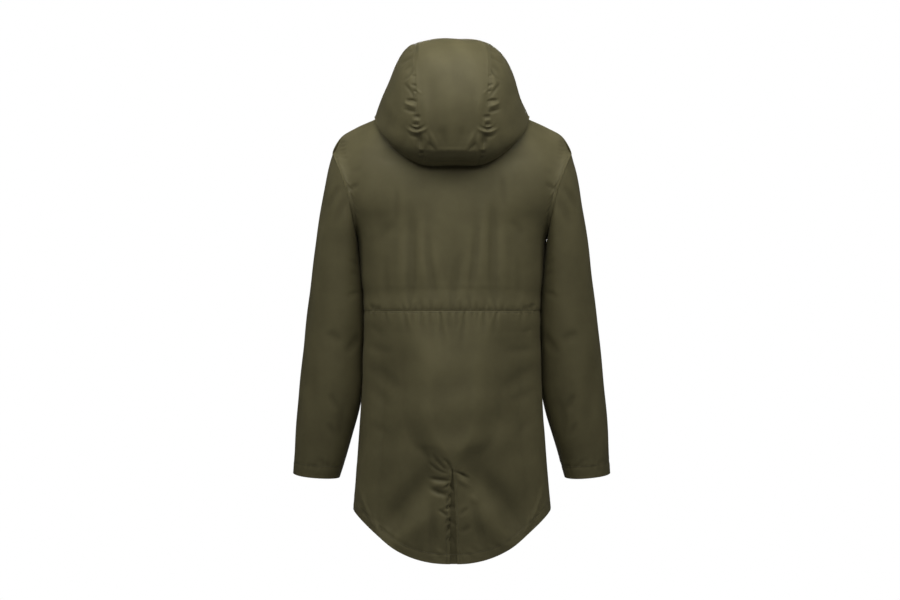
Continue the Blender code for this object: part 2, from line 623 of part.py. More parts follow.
def sleeves(finish, collection):
    steps = np.concatenate([np.linspace(0, 0.3, 7), np.linspace(0.3, 1, 14)[1:]])
    turns = np.arange(SLEEVE_COLUMNS) * 360 / SLEEVE_COLUMNS
    along, angle = np.meshgrid(steps, turns, indexing="ij")
    base = sleeve_point(along, angle)
    outward = normals(sleeve_point, along, angle, (0.0, 1.0))
    # The first ring is the armhole itself, so it is set off the body along the armhole's own axis.
    cap = SLEEVE_RINGS[0]
    up = np.array([cap.outer_x - cap.inner_x, 0, cap.outer_z - cap.inner_z])
    away = np.array([up[2], 0, -up[0]]) / np.linalg.norm(up)
    base[0] += away * ARMHOLE_GAP
    # There the way through the cloth is shared with the body.
    through = outward.copy()
    for i, turn in enumerate(turns):
        row = np.array([1 + min(turn, 360 - turn) / 180])
        back, fore, _, _ = armhole_normals(row)
        others = (back[0], fore[0]) if i == 0 else (back[0],) if turn <= 180 else (fore[0],)
        through[0, i] = shared_rim(outward[0, i], *others)
    folds = sleeve_folds(along, angle)
    for name, side in (("sleeve_left", lambda p: p), ("sleeve_right", mirrored)):
        mesh = cloth_wall(name, side(base), side(outward), folds, None, loop=True, through=side(through))
        add_object(name, mesh, finish, collection)


def hood(finish, collection):
    along, share = np.meshgrid(HOOD_STEPS, np.linspace(-1, 1, 9), indexing="ij")
    turn = hood_seam_angle(along) * share

    def both_sides(place, angle):
        points = hood_point(place, np.abs(angle))
        return points * np.stack([np.where(angle < 0, -1.0, 1.0)] + [np.ones_like(angle)] * 2, axis=-1)

    base = both_sides(along, turn)
    outward = normals(both_sides, along, turn, (0.0, 1.0))
    mesh = cloth_wall("hood_centre", base, outward, hood_folds(along, turn), ((1, 0), (1, 1)))
    add_object("hood_centre", mesh, finish, collection)

    along, share = np.meshgrid(HOOD_STEPS, HOOD_COLUMNS, indexing="ij")
    turn = hood_side_angle(along, share)
    base = hood_point(along, turn)
    outward = normals(hood_point, along, turn, (0.0, 1.0))
    folds = hood_folds(along, turn)
    left = cloth_wall("hood_left", base, outward, folds, ((1, 0), (1, 0)))
    right = cloth_wall("hood_right", mirrored(base), mirrored(outward), folds, ((1, 0), (1, 0)))
    add_object("hood_left", left, finish, collection)
    add_object("hood_right", right, finish, collection)


# ---------------------------------------------------------------- the zip


def front_edge(panel_rows):
    """The front's and the hood's edge beside the zip: inner face points at the slot and one column away."""
    row, share = np.meshgrid(panel_rows, FRONT_COLUMNS[:2], indexing="ij")
    start = angle_at_x(row, ZIP_SLOT)
    angle = start + (90 - start) * share
    body = front_point(row, angle)
    body_inner = body - front_normal(row, angle) * CLOTH
    along, place = np.meshgrid(HOOD_STEPS, HOOD_COLUMNS[-2:], indexing="ij")
    turn = hood_side_angle(along, place)
    top = hood_point(along, turn)
    top_inner = top - normals(hood_point, along, turn, (0.0, 1.0)) * CLOTH
    return body_inner, top_inner[:, ::-1]


def zip_path():
    """Points behind both edges from the hem to the chin, at the slot and one column away, and outwards."""
    body, top = front_edge(FRONT_ROWS)
    points = np.concatenate([body[::-1], top])
    # Rows that crowd where the body meets the hood are left out.
    kept = [0]
    for i in range(1, len(points)):
        if np.linalg.norm(points[i, 0] - points[kept[-1], 0]) > 0.0012:
            kept.append(i)
    kept[-1] = len(points) - 1
    points = points[kept]
    along = np.gradient(points[:, 0], axis=0)
    along /= np.linalg.norm(along, axis=1, keepdims=True)
    across = points[:, 1] - points[:, 0]
    outward = np.cross(across, along)
    outward /= np.linalg.norm(outward, axis=1, keepdims=True)
    return points, along, outward


def strip_mesh(name, centre, across, outward, half_width, thickness, shift=0.0):
    """A flat strip along a path, with a rectangular section."""
    corners = ((-1, 1), (1, 1), (1, -1), (-1, -1))
    rings = [
        centre + across * (shift + half_width * side) + outward * (thickness / 2 * face)
        for side, face in corners
    ]
    points = np.stack(rings, axis=1)
    count = len(points)
    faces = grid_quads(count, 4, loop=True).tolist()
    faces += [[0, 1, 2, 3], [4 * count - 1, 4 * count - 2, 4 * count - 3, 4 * count - 4]]
    mesh = bpy.data.meshes.new(name)
    mesh.from_pydata(points.reshape(-1, 3).tolist(), [], faces)
    build = bmesh.new()
    build.from_mesh(mesh)
    bmesh.ops.recalc_face_normals(build, faces=build.faces)
    build.to_mesh(mesh)
    build.free()
    return mesh


def zip_tapes_and_chain(tape_finish, chain_finish, collection):
    """Returns the slider's place, its upward direction and its outward direction."""
    points, along, outward = zip_path()
    across = points[:, 1] - points[:, 0]
    across /= across[:, :1]  # per metre of x
    behind = outward * (ZIP_TAPE_BEHIND + ZIP_TAPE_THICK / 2)
    middle = (ZIP_TAPE_INNER + ZIP_TAPE_OUTER) / 2
    half = (ZIP_TAPE_OUTER - ZIP_TAPE_INNER) / 2
    tape = points[:, 0] + across * (middle - ZIP_SLOT) - behind
    for name, sign in (("zip_tape_left", 1.0), ("zip_tape_right", -1.0)):
        flip = np.array([sign, 1.0, 1.0])
        mesh = strip_mesh(name, tape * flip, across * flip, outward * flip, half, ZIP_TAPE_THICK)
        add_object(name, mesh, tape_finish, collection)

    centre = points[:, 0] - behind
    centre[:, 0] = 0
    outward = outward * np.array([0.0, 1.0, 1.0])
    outward /= np.linalg.norm(outward, axis=1, keepdims=True)
    length = np.concatenate([[0], np.cumsum(np.linalg.norm(np.diff(centre, axis=0), axis=1))])
    in_hood = length[-1] - (points[-1, 0, 2] - BODY_ROWS[0].front_z)
    slider_at = in_hood + (length[-1] - in_hood) * SLIDER_ALONG
    place = np.array([np.interp(slider_at, length, centre[:, i]) for i in range(3)])
    facing = np.array([np.interp(slider_at, length, outward[:, i]) for i in range(3)])
    facing /= np.linalg.norm(facing)
    upward = np.cross([1.0, 0.0, 0.0], facing)
    upward *= np.sign(upward[2])

    kept = (length > ZIP_BOTTOM + 0.004) & (length < slider_at - 0.012)
    limits = (ZIP_BOTTOM, slider_at - 0.008)
    ends = [np.array([np.interp(at, length, centre[:, i]) for i in range(3)]) for at in limits]
    chain = np.concatenate([[ends[0]], centre[kept], [ends[1]], [place + upward * CHAIN_TOP]])
    faces_out = np.concatenate([[outward[0]], outward[kept], [facing], [facing]])
    right = np.tile([1.0, 0.0, 0.0], (len(chain), 1))
    mesh = strip_mesh("zip_chain", chain, right, faces_out, ZIP_CHAIN, ZIP_CHAIN_THICK)
    add_object("zip_chain", mesh, chain_finish, collection)
    return place, upward, facing


def box_object(name, box, frame, collection):
    """A box between its named limits, in a frame whose axes are across, outwards and upwards."""
    low = np.array([box.x0, box.n0, box.u0])
    high = np.array([box.x1, box.n1, box.u1])
    build = bmesh.new()
    bmesh.ops.create_cube(build, size=1.0)
    bmesh.ops.scale(build, vec=(high - low).tolist(), verts=build.verts)
    bmesh.ops.translate(build, vec=((low + high) / 2).tolist(), verts=build.verts)
    mesh = bpy.data.meshes.new(name)
    build.to_mesh(mesh)
    build.free()
    obj = bpy.data.objects.new(name, mesh)
    obj.matrix_world = frame
    collection.objects.link(obj)
    return obj


def zip_slider(place, upward, facing, finish, collection):
    """Two plates with a post between them at the top and a bridge in front, joined into one solid."""
    across = -np.cross(upward, facing)
    rows = [[*axes, where] for axes, where in zip(np.transpose([across, facing, upward]), place)]
    frame = Matrix(rows + [[0, 0, 0, 1]])
    if frame.determinant() < 0:
        frame = frame @ Matrix.Scale(-1, 4, (1, 0, 0))
    first, *others = SLIDER_BOXES
    slider = box_object("zip_slider", first, frame, collection)
    slider.data.materials.append(principled("zip_slider", finish))
    for i, box in enumerate(others):
        helper = box_object(f"slider_box_{i}", box, frame, collection)
        helper.hide_render = True
        helper.display_type = "WIRE"
        join = slider.modifiers.new("join", "BOOLEAN")
        join.operation = "UNION"
        join.solver = "EXACT"
        join.object = helper


def zip_pull(place, upward, facing, finish, collection):
    """A flat tab with a window that the bridge passes through. It hangs plumb, its origin on its axis."""
    out, up = PULL_AXIS
    half, top, bottom = PULL_WINDOW
    wide, low = PULL_HALF_WIDTH, -PULL_LENGTH
    outline = (
        (-wide, top), (-wide, -bottom - 0.0020), (-wide * 0.8, low * 0.55), (-wide * 0.8, low + 0.0025),
        (-wide * 0.5, low), (wide * 0.5, low), (wide * 0.8, low + 0.0025), (wide * 0.8, low * 0.55),
        (wide, -bottom - 0.0020), (wide, top),
    )
    window = ((-half, -top), (half, -top), (half, -bottom), (-half, -bottom))
    shape = bpy.data.curves.new("zip_pull", "CURVE")
    shape.dimensions = "2D"
    shape.fill_mode = "BOTH"
    shape.extrude = PULL_THICK / 2
    for loop in (outline, window):
        spline = shape.splines.new("POLY")
        spline.points.add(len(loop) - 1)
        for point, (x, z) in zip(spline.points, loop):
            point.co = (x, z, 0, 1)
        spline.use_cyclic_u = True
    shape.materials.append(principled("zip_pull", finish))
    tab = bpy.data.objects.new("zip_pull", shape)
    collection.objects.link(tab)
    tab.location = place + facing * out + upward * up
    tab.rotation_euler = (math.pi / 2, 0, 0)
    print("pull axis", [round(c, 5) for c in tab.location])


def main():
    for obj in list(bpy.data.objects):
        bpy.data.objects.remove(obj)
    parka = bpy.data.collections.new("parka")
    bpy.context.scene.collection.children.link(parka)
    back_upper(OLIVE, parka)
    back_lower(OLIVE, parka)
    vent_underlap(OLIVE, parka)
    fronts(OLIVE, parka)
    sleeves(OLIVE, parka)
    hood(OLIVE, parka)
    place, upward, facing = zip_tapes_and_chain(DARK_TAPE, METAL, parka)
    zip_slider(place, upward, facing, METAL, parka)
    zip_pull(place, upward, facing, METAL, parka)


main()
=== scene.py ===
import math

import bpy
import numpy as np
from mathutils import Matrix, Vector


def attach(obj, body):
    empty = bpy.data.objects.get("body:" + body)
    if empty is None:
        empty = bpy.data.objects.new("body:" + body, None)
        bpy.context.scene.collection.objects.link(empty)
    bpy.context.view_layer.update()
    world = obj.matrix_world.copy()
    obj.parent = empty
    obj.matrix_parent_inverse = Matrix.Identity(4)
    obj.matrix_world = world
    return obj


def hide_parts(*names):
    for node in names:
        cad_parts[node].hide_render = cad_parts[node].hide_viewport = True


# An olive parka seen from behind, filled out as if worn. Metres, +Z up; its front faces -Y.
# Every cloth piece is a fine grid over the same form as its CAD solid, with its folds, seams and
# puckers raised along the surface's normals. Fold tables are in millimetres, as the camera behind sees them.

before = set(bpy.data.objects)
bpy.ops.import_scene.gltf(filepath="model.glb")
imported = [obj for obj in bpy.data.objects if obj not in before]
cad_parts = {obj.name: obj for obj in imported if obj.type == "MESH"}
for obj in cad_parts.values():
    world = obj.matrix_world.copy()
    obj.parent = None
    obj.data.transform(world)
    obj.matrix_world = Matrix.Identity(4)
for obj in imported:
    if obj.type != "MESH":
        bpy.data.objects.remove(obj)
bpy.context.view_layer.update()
mm = 0.001

cloth = {
    "thickness": 0.0018,
    "seamGap": 0.00008,  # how far each piece stops short of a seam
    "colour": (0.150, 0.133, 0.065),
    "threadColour": (0.125, 0.111, 0.059),
    "roughness": 0.60,
    "threadEvery": 0.0006,  # the weave's period
}
stitchLines = {  # how far each line of stitches runs from its edge
    "waist": 0.0030,
    "armhole": 0.0075,
    "hem": 0.019,
    "cuff": 0.025,
    "face": 0.020,
    "frontEdge": 0.0085,
    "ventLeft": 0.0065,
    "ventRight": 0.0045,
    "hoodSeam": 0.0035,
}
camera = {"x": 0.0039, "behind": 5, "height": -0.380, "lens": 102.56, "sensor": 36}

# Curves and surfaces


def curve(knots, values, at):
    # a cubic through the values; its slope at a knot is that between the knot's neighbours
    knots, values = np.asarray(knots, float), np.asarray(values, float)
    slopes = np.gradient(values, knots, axis=0)
    at = np.clip(np.asarray(at, float), knots[0], knots[-1])
    index = np.clip(np.searchsorted(knots, at, side="right") - 1, 0, len(knots) - 2)
    extra = (1,) * (values.ndim - 1)
    span = (knots[index + 1] - knots[index]).reshape(at.shape + extra)
    part = (at - knots[index]).reshape(at.shape + extra) / span
    start, end = values[index], values[index + 1]
    rise, fall = slopes[index] * span, slopes[index + 1] * span
    return (
        start * (2 * part**3 - 3 * part**2 + 1)
        + rise * (part**3 - 2 * part**2 + part)
        + end * (3 * part**2 - 2 * part**3)
        + fall * (part**3 - part**2)
    )


def read(table, name, at):
    # one column of a table as a curve over its first column
    return curve(next(iter(table.values())), table[name], at)


def power(value, exponent):
    # the size raised to the exponent, with the value's sign
    return np.sign(value) * np.abs(value) ** exponent


def fade(distance, reach):
    # 1 at no distance, exp(-1) at one reach
    return np.exp(-((distance / reach) ** 2))


def step(value, start, end):
    # 0 before start, 1 after end, 3t^2 - 2t^3 between
    t = np.clip((value - start) / (end - start), 0, 1)
    return t * t * (3 - 2 * t)


def slopeNormals(surface, rows, columns, limits):
    # unit cross product of the surface's slopes along and across, from parameters a little to each side
    near = 1e-4
    along = surface(np.clip(rows + near, *limits), columns) - surface(np.clip(rows - near, *limits), columns)
    across = surface(rows, columns + near) - surface(rows, columns - near)
    cross = np.cross(along, across)
    return cross / np.linalg.norm(cross, axis=-1, keepdims=True)


def gridNormals(points, towards, loop=False):
    # unit cross product of a grid's own slopes, on the side that the given directions are on
    if loop:
        points = np.concatenate([points[:, -1:], points, points[:, :1]], axis=1)
    cross = np.cross(np.gradient(points, axis=0), np.gradient(points, axis=1))
    cross /= np.maximum(np.linalg.norm(cross, axis=-1, keepdims=True), 1e-12)
    if loop:
        cross = cross[:, 1:-1]
    return cross * np.sign(np.sum(cross * towards))


# The body and the sleeves

# rows: 0 at the neck, 1 at the tip of the shoulder, 2 at the underarm, 3 at the waist, 4 at the hem
bodyRows = {
    "row": (0, 0.25, 0.5, 0.75, 1, 1.5, 2, 2.5, 3, 3.5, 4),
    "backY": (0.070, 0.082, 0.092, 0.100, 0.107, 0.118, 0.121, 0.116, 0.107, 0.122, 0.127),
    "backZ": (-0.021, -0.043, -0.067, -0.091, -0.116, -0.185, -0.258, -0.330, -0.401, -0.637, -0.883),
    "frontY": (-0.084, -0.093, -0.101, -0.108, -0.115, -0.127, -0.130, -0.122, -0.110, -0.117, -0.120),
    "frontZ": (-0.082, -0.093, -0.106, -0.120, -0.136, -0.197, -0.262, -0.332, -0.402, -0.594, -0.790),
}
shoulderSeam = {
    "row": (0, 0.2, 0.4, 0.6, 0.8, 1),
    "x": (0.078, 0.115, 0.152, 0.187, 0.216, 0.233),
    "z": (0.000, -0.013, -0.029, -0.045, -0.063, -0.094),
}
sideSeam = {
    "row": (2, 2.5, 3, 3.5, 4),
    "x": (0.1840, 0.1780, 0.1716, 0.1775, 0.1925),
    "z": (-0.262, -0.332, -0.402, -0.594, -0.786),
}
bodyShape = {
    "squareness": 2.4,
    "ridgeRows": (0, 1, 1.6, 2),
    "ridgeTurn": (78, 72, 72, 90),  # how far round the top rows turn before the shoulder's ridge
    "easeRounds": 12,
}
sleeveRings = {
    "along": (0.00, 0.08, 0.18, 0.30, 0.43, 0.56, 0.72, 0.86, 1.00),
    "outerX": (0.2330, 0.2440, 0.2540, 0.2655, 0.2765, 0.2875, 0.2985, 0.3065, 0.3110),
    "outerZ": (-0.0940, -0.1350, -0.1900, -0.2620, -0.3450, -0.4400, -0.5450, -0.6350, -0.7195),
    "innerX": (0.1840, 0.1828, 0.1788, 0.1742, 0.1708, 0.1718, 0.1775, 0.1975, 0.2210),
    "innerZ": (-0.2620, -0.2880, -0.3220, -0.3650, -0.4150, -0.4780, -0.5700, -0.6480, -0.7270),
    "middleY": (0.000, -0.005, -0.012, -0.017, -0.020, -0.026, -0.032, -0.037, -0.042),
    "depth": (0.072, 0.074, 0.074, 0.072, 0.069, 0.066, 0.061, 0.054, 0.046),
    "square": (1.80, 1.95, 2.10, 2.20, 2.20, 2.20, 2.20, 2.20, 2.20),
}
sleeveShape = {"scoop": 0.008, "scoopedAlong": 0.25, "lean": 0.095}


def sleevePoint(along, angle):
    # superellipse rings between an outer and an inner edge; angle 0 is the outer edge and 90 the back
    outerX, outerZ, innerX, innerZ, middleY, depth, square = (
        read(sleeveRings, name, along) for name in list(sleeveRings)[1:]
    )
    turn = np.radians(angle)
    across, back = power(np.cos(turn), 2 / square), power(np.sin(turn), 2 / square)
    scoop = sleeveShape["scoop"] * np.sin(turn) ** 2 * np.clip(1 - along / sleeveShape["scoopedAlong"], 0, 1)
    lean = sleeveShape["lean"] * depth * back * along
    x = (outerX + innerX) / 2 + (outerX - innerX) / 2 * across - scoop
    z = (outerZ + innerZ) / 2 + (outerZ - innerZ) / 2 * across - lean
    return np.stack([x, middleY + depth * back, z], axis=-1)


def sidePoint(row, front):
    # where a row ends: on the shoulder seam, on the armhole or on the side seam
    turn = 180 * np.clip(row - 1, 0, 1)
    armhole = sleevePoint(np.zeros_like(row), np.where(front, 360 - turn, turn))
    above, below = row <= 1, row >= 2
    shoulder, side = np.clip(row, 0, 1), np.clip(row, 2, 4)
    x = np.where(above, read(shoulderSeam, "x", shoulder), armhole[..., 0])
    z = np.where(above, read(shoulderSeam, "z", shoulder), armhole[..., 2])
    x = np.where(below, read(sideSeam, "x", side), x)
    z = np.where(below, read(sideSeam, "z", side), z)
    return x, np.where(above | below, 0.0, armhole[..., 1]), z


def bodyRow(row, front):
    # a row's middle, its end and how far its superellipse turns before the end
    side = "front" if front else "back"
    middleY, middleZ = read(bodyRows, side + "Y", row), read(bodyRows, side + "Z", row)
    endX, endY, endZ = sidePoint(row, front)
    whole = np.arccos(np.clip(endY / middleY, 0, 1) ** (bodyShape["squareness"] / 2))
    most = np.minimum(whole, np.radians(np.interp(row, bodyShape["ridgeRows"], bodyShape["ridgeTurn"])))
    return middleY, middleZ, endX, endY, endZ, most


def bodyPoint(row, angle, front):
    # each row is a superellipse arc from the middle (angle 0) to its end (angle 90), dipping towards the end
    row = np.asarray(row, float)
    middleY, middleZ, endX, endY, endZ, most = bodyRow(row, front)
    square = bodyShape["squareness"]
    turn = np.asarray(angle, float) / 90 * most
    across = power(np.sin(turn), 2 / square) / np.sin(most) ** (2 / square)
    deep = power(np.cos(turn), 2 / square)
    last = np.clip(np.cos(most), 0, 1) ** (2 / square)
    y = endY + (middleY - endY) * (deep - last) / (1 - last)
    z = middleZ + (endZ - middleZ) * (1 - np.abs(deep) ** square) / np.sin(most) ** 2
    return np.stack([endX * across, y, z], axis=-1)


def backPoint(row, angle):
    # the back runs from 90 degrees on one side of the middle to 90 on the other
    return bodyPoint(row, angle, False)


def frontPoint(row, angle):
    return bodyPoint(row, angle, True)


def angleAtX(row, x):
    # the front's angle at a distance from the middle
    _, _, endX, _, _, most = bodyRow(row, True)
    halfWidth = endX / np.sin(most) ** (2 / bodyShape["squareness"])
    return 90 * np.arcsin((x / halfWidth) ** (bodyShape["squareness"] / 2)) / most


def easedShoulder(points, row, angle):
    # each inner point near the shoulder's tip moves to the middle of its four neighbours, a few times over
    row, angle = row[1:-1, 1:-1], np.abs(angle[1:-1, 1:-1])
    near = fade(row - 1.05, 0.45) * np.clip(angle / 40 - 0.9, 0, 1)
    near = np.maximum(near, fade(row - 2.05, 0.28) * np.clip(angle / 30 - 1.0, 0, 1))
    points = points.copy()
    for _ in range(bodyShape["easeRounds"]):
        middle = (points[:-2, 1:-1] + points[2:, 1:-1] + points[1:-1, :-2] + points[1:-1, 2:]) / 4
        points[1:-1, 1:-1] += (middle - points[1:-1, 1:-1]) * near[..., None]
    return points


def refined(points, rowKnots, columnKnots, rows, columns):
    # a coarse grid read as smooth curves along and across
    points = curve(rowKnots, points, rows)
    return np.swapaxes(curve(columnKnots, np.swapaxes(points, 0, 1), columns), 0, 1)


# The form of the hood

hoodFold = {  # where the hood folds over the shoulders, by the angle round it from the back to the front
    "angle": (0, 20, 31, 45, 60, 75, 90, 125, 155, 180),
    "bodyRow": (1.08, 1.07, 1.00, 0.85, 0.64, 0.44, 0.37, 0.18, 0.03, 0.00),
    "bodyAngle": (0, 13, 19, 28.5, 44, 69, 90, 125, 155, 180),
    "lift": (0.0040, 0.0040, 0.0040, 0.0045, 0.0046, 0.0040, 0.0034, 0.0034, 0.0016, 0.0006),
    "tipLift": (0.0130, 0.0130, 0.0125, 0.0110, 0.0086, 0.0062, 0.0050, 0.0048, 0.0030, 0.0012),
    "rise": (0, 0, 0, 0, 0, 0, 0, 0, 0.0015, 0.0045),
}
hoodUnderside = {"along": (0.0, 0.07, 0.13), "share": (0.0, 0.5, 0.96), "liftShare": (0.0, 0.8, 1.0)}
hoodTip = {"along": 0.18, "rise": 1.35, "neckLift": 0.001}
hoodRings = {
    "along": (0.24, 0.33, 0.45, 0.57, 0.69, 0.80, 0.90, 1.00),
    "sideX": (0.1500, 0.1455, 0.1370, 0.1265, 0.1165, 0.1080, 0.1010, 0.0960),
    "sideY": (-0.004, -0.012, -0.024, -0.042, -0.061, -0.080, -0.097, -0.110),
    "sideZ": (-0.0215, -0.0090, 0.0090, 0.0260, 0.0400, 0.0465, 0.0480, 0.0440),
    "backY": (0.153, 0.173, 0.176, 0.154, 0.103, 0.030, -0.042, -0.105),
    "backZ": (-0.109, -0.062, 0.010, 0.073, 0.115, 0.126, 0.123, 0.109),
    "frontY": (-0.0905, -0.0925, -0.0940, -0.0950, -0.0960, -0.0965, -0.0970, -0.0970),
    "frontZ": (-0.0740, -0.0670, -0.0600, -0.0530, -0.0470, -0.0410, -0.0350, -0.0300),
    "square": (2.5, 2.5, 2.5, 2.6, 2.7, 3.0, 2.9, 2.7),
    "dip": (1.4, 1.3, 1.2, 1.0, 1.0, 1.0, 1.0, 1.0),
}
hoodSeam = {
    "along": (0, 0.18, 0.24, 0.33, 0.45, 0.57, 0.7, 1),
    "x": (0.050, 0.053, 0.055, 0.0625, 0.0685, 0.0695, 0.067, 0.062),
}
zipSlot = 0.0055  # from the middle to each front's edge


def neckOrShoulder(row, angle):
    # the back up to 90 degrees and the front beyond
    return np.where((angle <= 90)[..., None], backPoint(row, angle), frontPoint(row, 180 - angle))


def shoulderNormal(row, angle):
    # the back's and the front's normals, mixed over the ridge of the shoulder
    share = np.clip((110 - angle) / 40, 0, 1)[..., None]
    back = -slopeNormals(backPoint, row, np.minimum(angle, 90), (0.0, 4.0))
    front = slopeNormals(frontPoint, row, np.minimum(180 - angle, 90), (0.0, 4.0))
    middle = back * share + front * (1 - share)
    return middle / np.linalg.norm(middle, axis=-1, keepdims=True)


def hoodPoint(along, angle):
    # smooth curves from the neck seam over the shoulders, round the fold and up through the leaning rings
    fold = {name: read(hoodFold, name, angle) for name in list(hoodFold)[1:]}
    knots, lines = [], []
    for at, share, liftShare in zip(*hoodUnderside.values()):
        row, turn = fold["bodyRow"] * share, angle + (fold["bodyAngle"] - angle) * share
        lift = hoodTip["neckLift"] + fold["lift"] * liftShare
        point = neckOrShoulder(row, turn) + lift[..., None] * shoulderNormal(row, turn)
        point[..., 2] += fold["rise"] * share
        knots.append(at)
        lines.append(point)
    normal = shoulderNormal(fold["bodyRow"], fold["bodyAngle"])
    point = neckOrShoulder(fold["bodyRow"], fold["bodyAngle"]) + fold["tipLift"][..., None] * normal
    point[..., 2] += fold["rise"] * hoodTip["rise"]
    knots.append(hoodTip["along"])
    lines.append(point)
    turn = np.radians(angle)
    behind = np.cos(turn) >= 0
    for i, at in enumerate(hoodRings["along"]):
        ring = {name: values[i] for name, values in hoodRings.items()}
        deep = np.abs(np.cos(turn)) ** (2 / ring["square"])
        endY = np.where(behind, ring["backY"], ring["frontY"])
        endZ = np.where(behind, ring["backZ"], ring["frontZ"])
        x = ring["sideX"] * power(np.sin(turn), 2 / ring["square"])
        y = ring["sideY"] + (endY - ring["sideY"]) * deep
        z = ring["sideZ"] + (endZ - ring["sideZ"]) * deep ** ring["dip"]
        knots.append(at)
        lines.append(np.stack([x, y, z], axis=-1))
    weights = curve(knots, np.eye(len(knots)), along)
    return np.einsum("...k,k...d->...d", weights, np.stack(lines))


def hoodSeamAngle(along):
    # the long seam's angle, from how far it is from the middle
    knots, widths = (0.0, hoodTip["along"], *hoodRings["along"]), (0.078, 0.151, *hoodRings["sideX"])
    return np.degrees(np.arcsin((read(hoodSeam, "x", along) / np.interp(along, knots, widths)) ** 1.25))


def hoodSideAngle(along, share):
    # from the long seam to where the hood meets the zip
    knots, near = np.linspace(0, 1, 41), 180 - np.linspace(0.2, 20, 120)
    x = hoodPoint(*np.meshgrid(knots, near, indexing="ij"))[..., 0]
    stops = [np.interp(zipSlot, line, near) for line in x]
    start = hoodSeamAngle(along)
    return start + (np.interp(along, knots, stops) - start) * share


# Folds


def seen(base):
    # x and z where the line from the camera to each point meets the plane through both sides
    scale = camera["behind"] / (camera["behind"] - base[..., 1])
    return base[..., 0] * scale, (base[..., 2] - camera["height"]) * scale + camera["height"]


def creases(x, z, table):
    # Each crease is a bent line. The cloth there sinks by depth (rises where it is under 0), as
    # exp(-(d / width)^2) at the distance d across it, and more on one side by lean. Both ends fade out.
    height = np.zeros_like(x)
    for x0, z0, x1, z1, bow, width, depth, lean in np.array(table, float) * [*(mm,) * 7, 1]:
        length = math.hypot(x1 - x0, z1 - z0)
        alongX, alongZ = (x1 - x0) / length, (z1 - z0) / length
        t = ((x - x0) * alongX + (z - z0) * alongZ) / length
        d = (x - x0) * -alongZ + (z - z0) * alongX - bow * 4 * t * (1 - t)
        ends = step(t, -0.10, 0.42) * step(-t, -1.10, -0.58)
        height -= depth * ends * fade(d, width) * (1 + lean * d / width)
    return height


def undulation(x, z, size, seed):
    # the sum of a few long waves in different directions, between about -1 and 1
    random = np.random.default_rng(seed)
    total = np.zeros_like(x)
    for _ in range(7):
        way, phase = random.uniform(0, math.pi), random.uniform(0, 2 * math.pi)
        length = size * random.uniform(0.7, 1.6)
        total += np.sin(2 * math.pi * (x * math.cos(way) + z * math.sin(way)) / length + phase)
    return total / 3.5


gathersAbove = {  # x, length, depth and drift outwards of each tuck above the waist seam
    "x": (152, 138, 112, 90, 80, 68, 56, 39, 21, 2, -16, -35, -45, -60, -70, -82, -94, -115, -135, -152),
    "length": (14, 10, 9, 16, 22, 14, 18, 20, 16, 26, 18, 24, 14, 20, 12, 22, 14, 10, 12, 14),
    "depth": (1.3, 0.8, 0.5, 1.2, 1.5, 1, 1.3, 1.4, 1, 1.6, 1.2, 1.5, 0.9, 1.4, 0.9, 1.4, 1, 0.6, 0.9, 1.3),
    "drift": (0, 0, 0, 2, 0, -2, 3, 2, -2, -4, 1, 3, 0, -2, 0, 2, 0, 0, 0, 0),
}
gathersBelow = {  # and of each below it
    "x": (148, 125, 104, 90, 74, 58, 41, 23, 6, -8, -23, -38, -47, -60, -73, -84, -105, -131, -148),
    "length": (18, 24, 14, 34, 22, 32, 26, 48, 30, 34, 46, 20, 26, 34, 20, 32, 22, 24, 18),
    "depth": (0.6, 0.9, 0.4, 1.5, 0.6, 1.5, 0.7, 2.0, 0.7, 1.0, 2.0, 0.6, 1.0, 1.5, 0.6, 1.5, 0.4, 0.9, 0.6),
    "drift": (0, -2, 2, -5, 2, -1, 2, -4, 2, -2, 4, 1, 0, 2, -2, 5, -2, 2, 0),
}
waistFill = {"row": (1, 1.5, 2, 2.5, 3, 3.5, 4), "out": (0, 0, 0.0010, 0.0075, 0.0150, 0.0015, 0)}


def pastWaist(base, row):
    # the cloth hangs straight past the small of the back, less so the nearer it is to the sides
    return read(waistFill, "out", row) * np.clip(base[..., 1] / read(bodyRows, "backY", row), 0, 1) ** 2


def gathers(x, down, table):
    # tucks at the seam: each sinks by its depth, is narrow at the stitches and opens as it fades
    height = np.zeros_like(x)
    for at, length, depth, drift in zip(*(np.array(column) * mm for column in table.values())):
        share = down / length
        across = x - at - drift * share
        width = 0.0022 + 0.0030 * np.clip(share, 0, 1.2)
        tuck = 0.45 * fade(np.abs(across) - 1.9 * width, width) - fade(across, width)
        height += depth * tuck * np.exp(-(share**2)) * step(down, -0.001, 0.006)
    return height


def waistSeam(fromSeam, swell):
    # the cloth swells beside the seam and dips into it and into its stitches
    stitches = fade(fromSeam - 0.0032, 0.0009)
    return swell * fade(fromSeam - 0.014, 0.014) - 0.0006 * fade(fromSeam, 0.0014) - 0.0004 * stitches


def turnedEdge(fromEdge, line):
    # the cloth is turned in, so that it stands out as far as the groove of its stitches
    stitched = stitchLines[line]
    stitches = fade(fromEdge - stitched, 0.0012)
    return 0.00015 * step(-fromEdge, -stitched - 0.001, 0.003 - stitched) - 0.0004 * stitches


def armholeEdge(row, along, inset, groove, seed):
    # from the shoulder's tip to the underarm the edge stands over the sleeve. Small puckers, the sum of
    # three waves, run beside it where the topstitches draw the cloth in, with a groove under the stitches.
    random = np.random.default_rng(seed)
    ripple = 0
    for length in (0.010, 0.0145, 0.022):
        ripple += random.uniform(0.5, 1) * np.sin(2 * math.pi * along / length + random.uniform(0, 6))
    height = 0.0004 * fade(inset, 0.006) + 0.0006 * ripple * fade(inset - 0.009, 0.006)
    height -= groove * fade(inset - stitchLines["armhole"], 0.0012)
    return height * step(row, 1.0, 1.12) * step(-row, -2.02, -1.85)


# Panels and walls


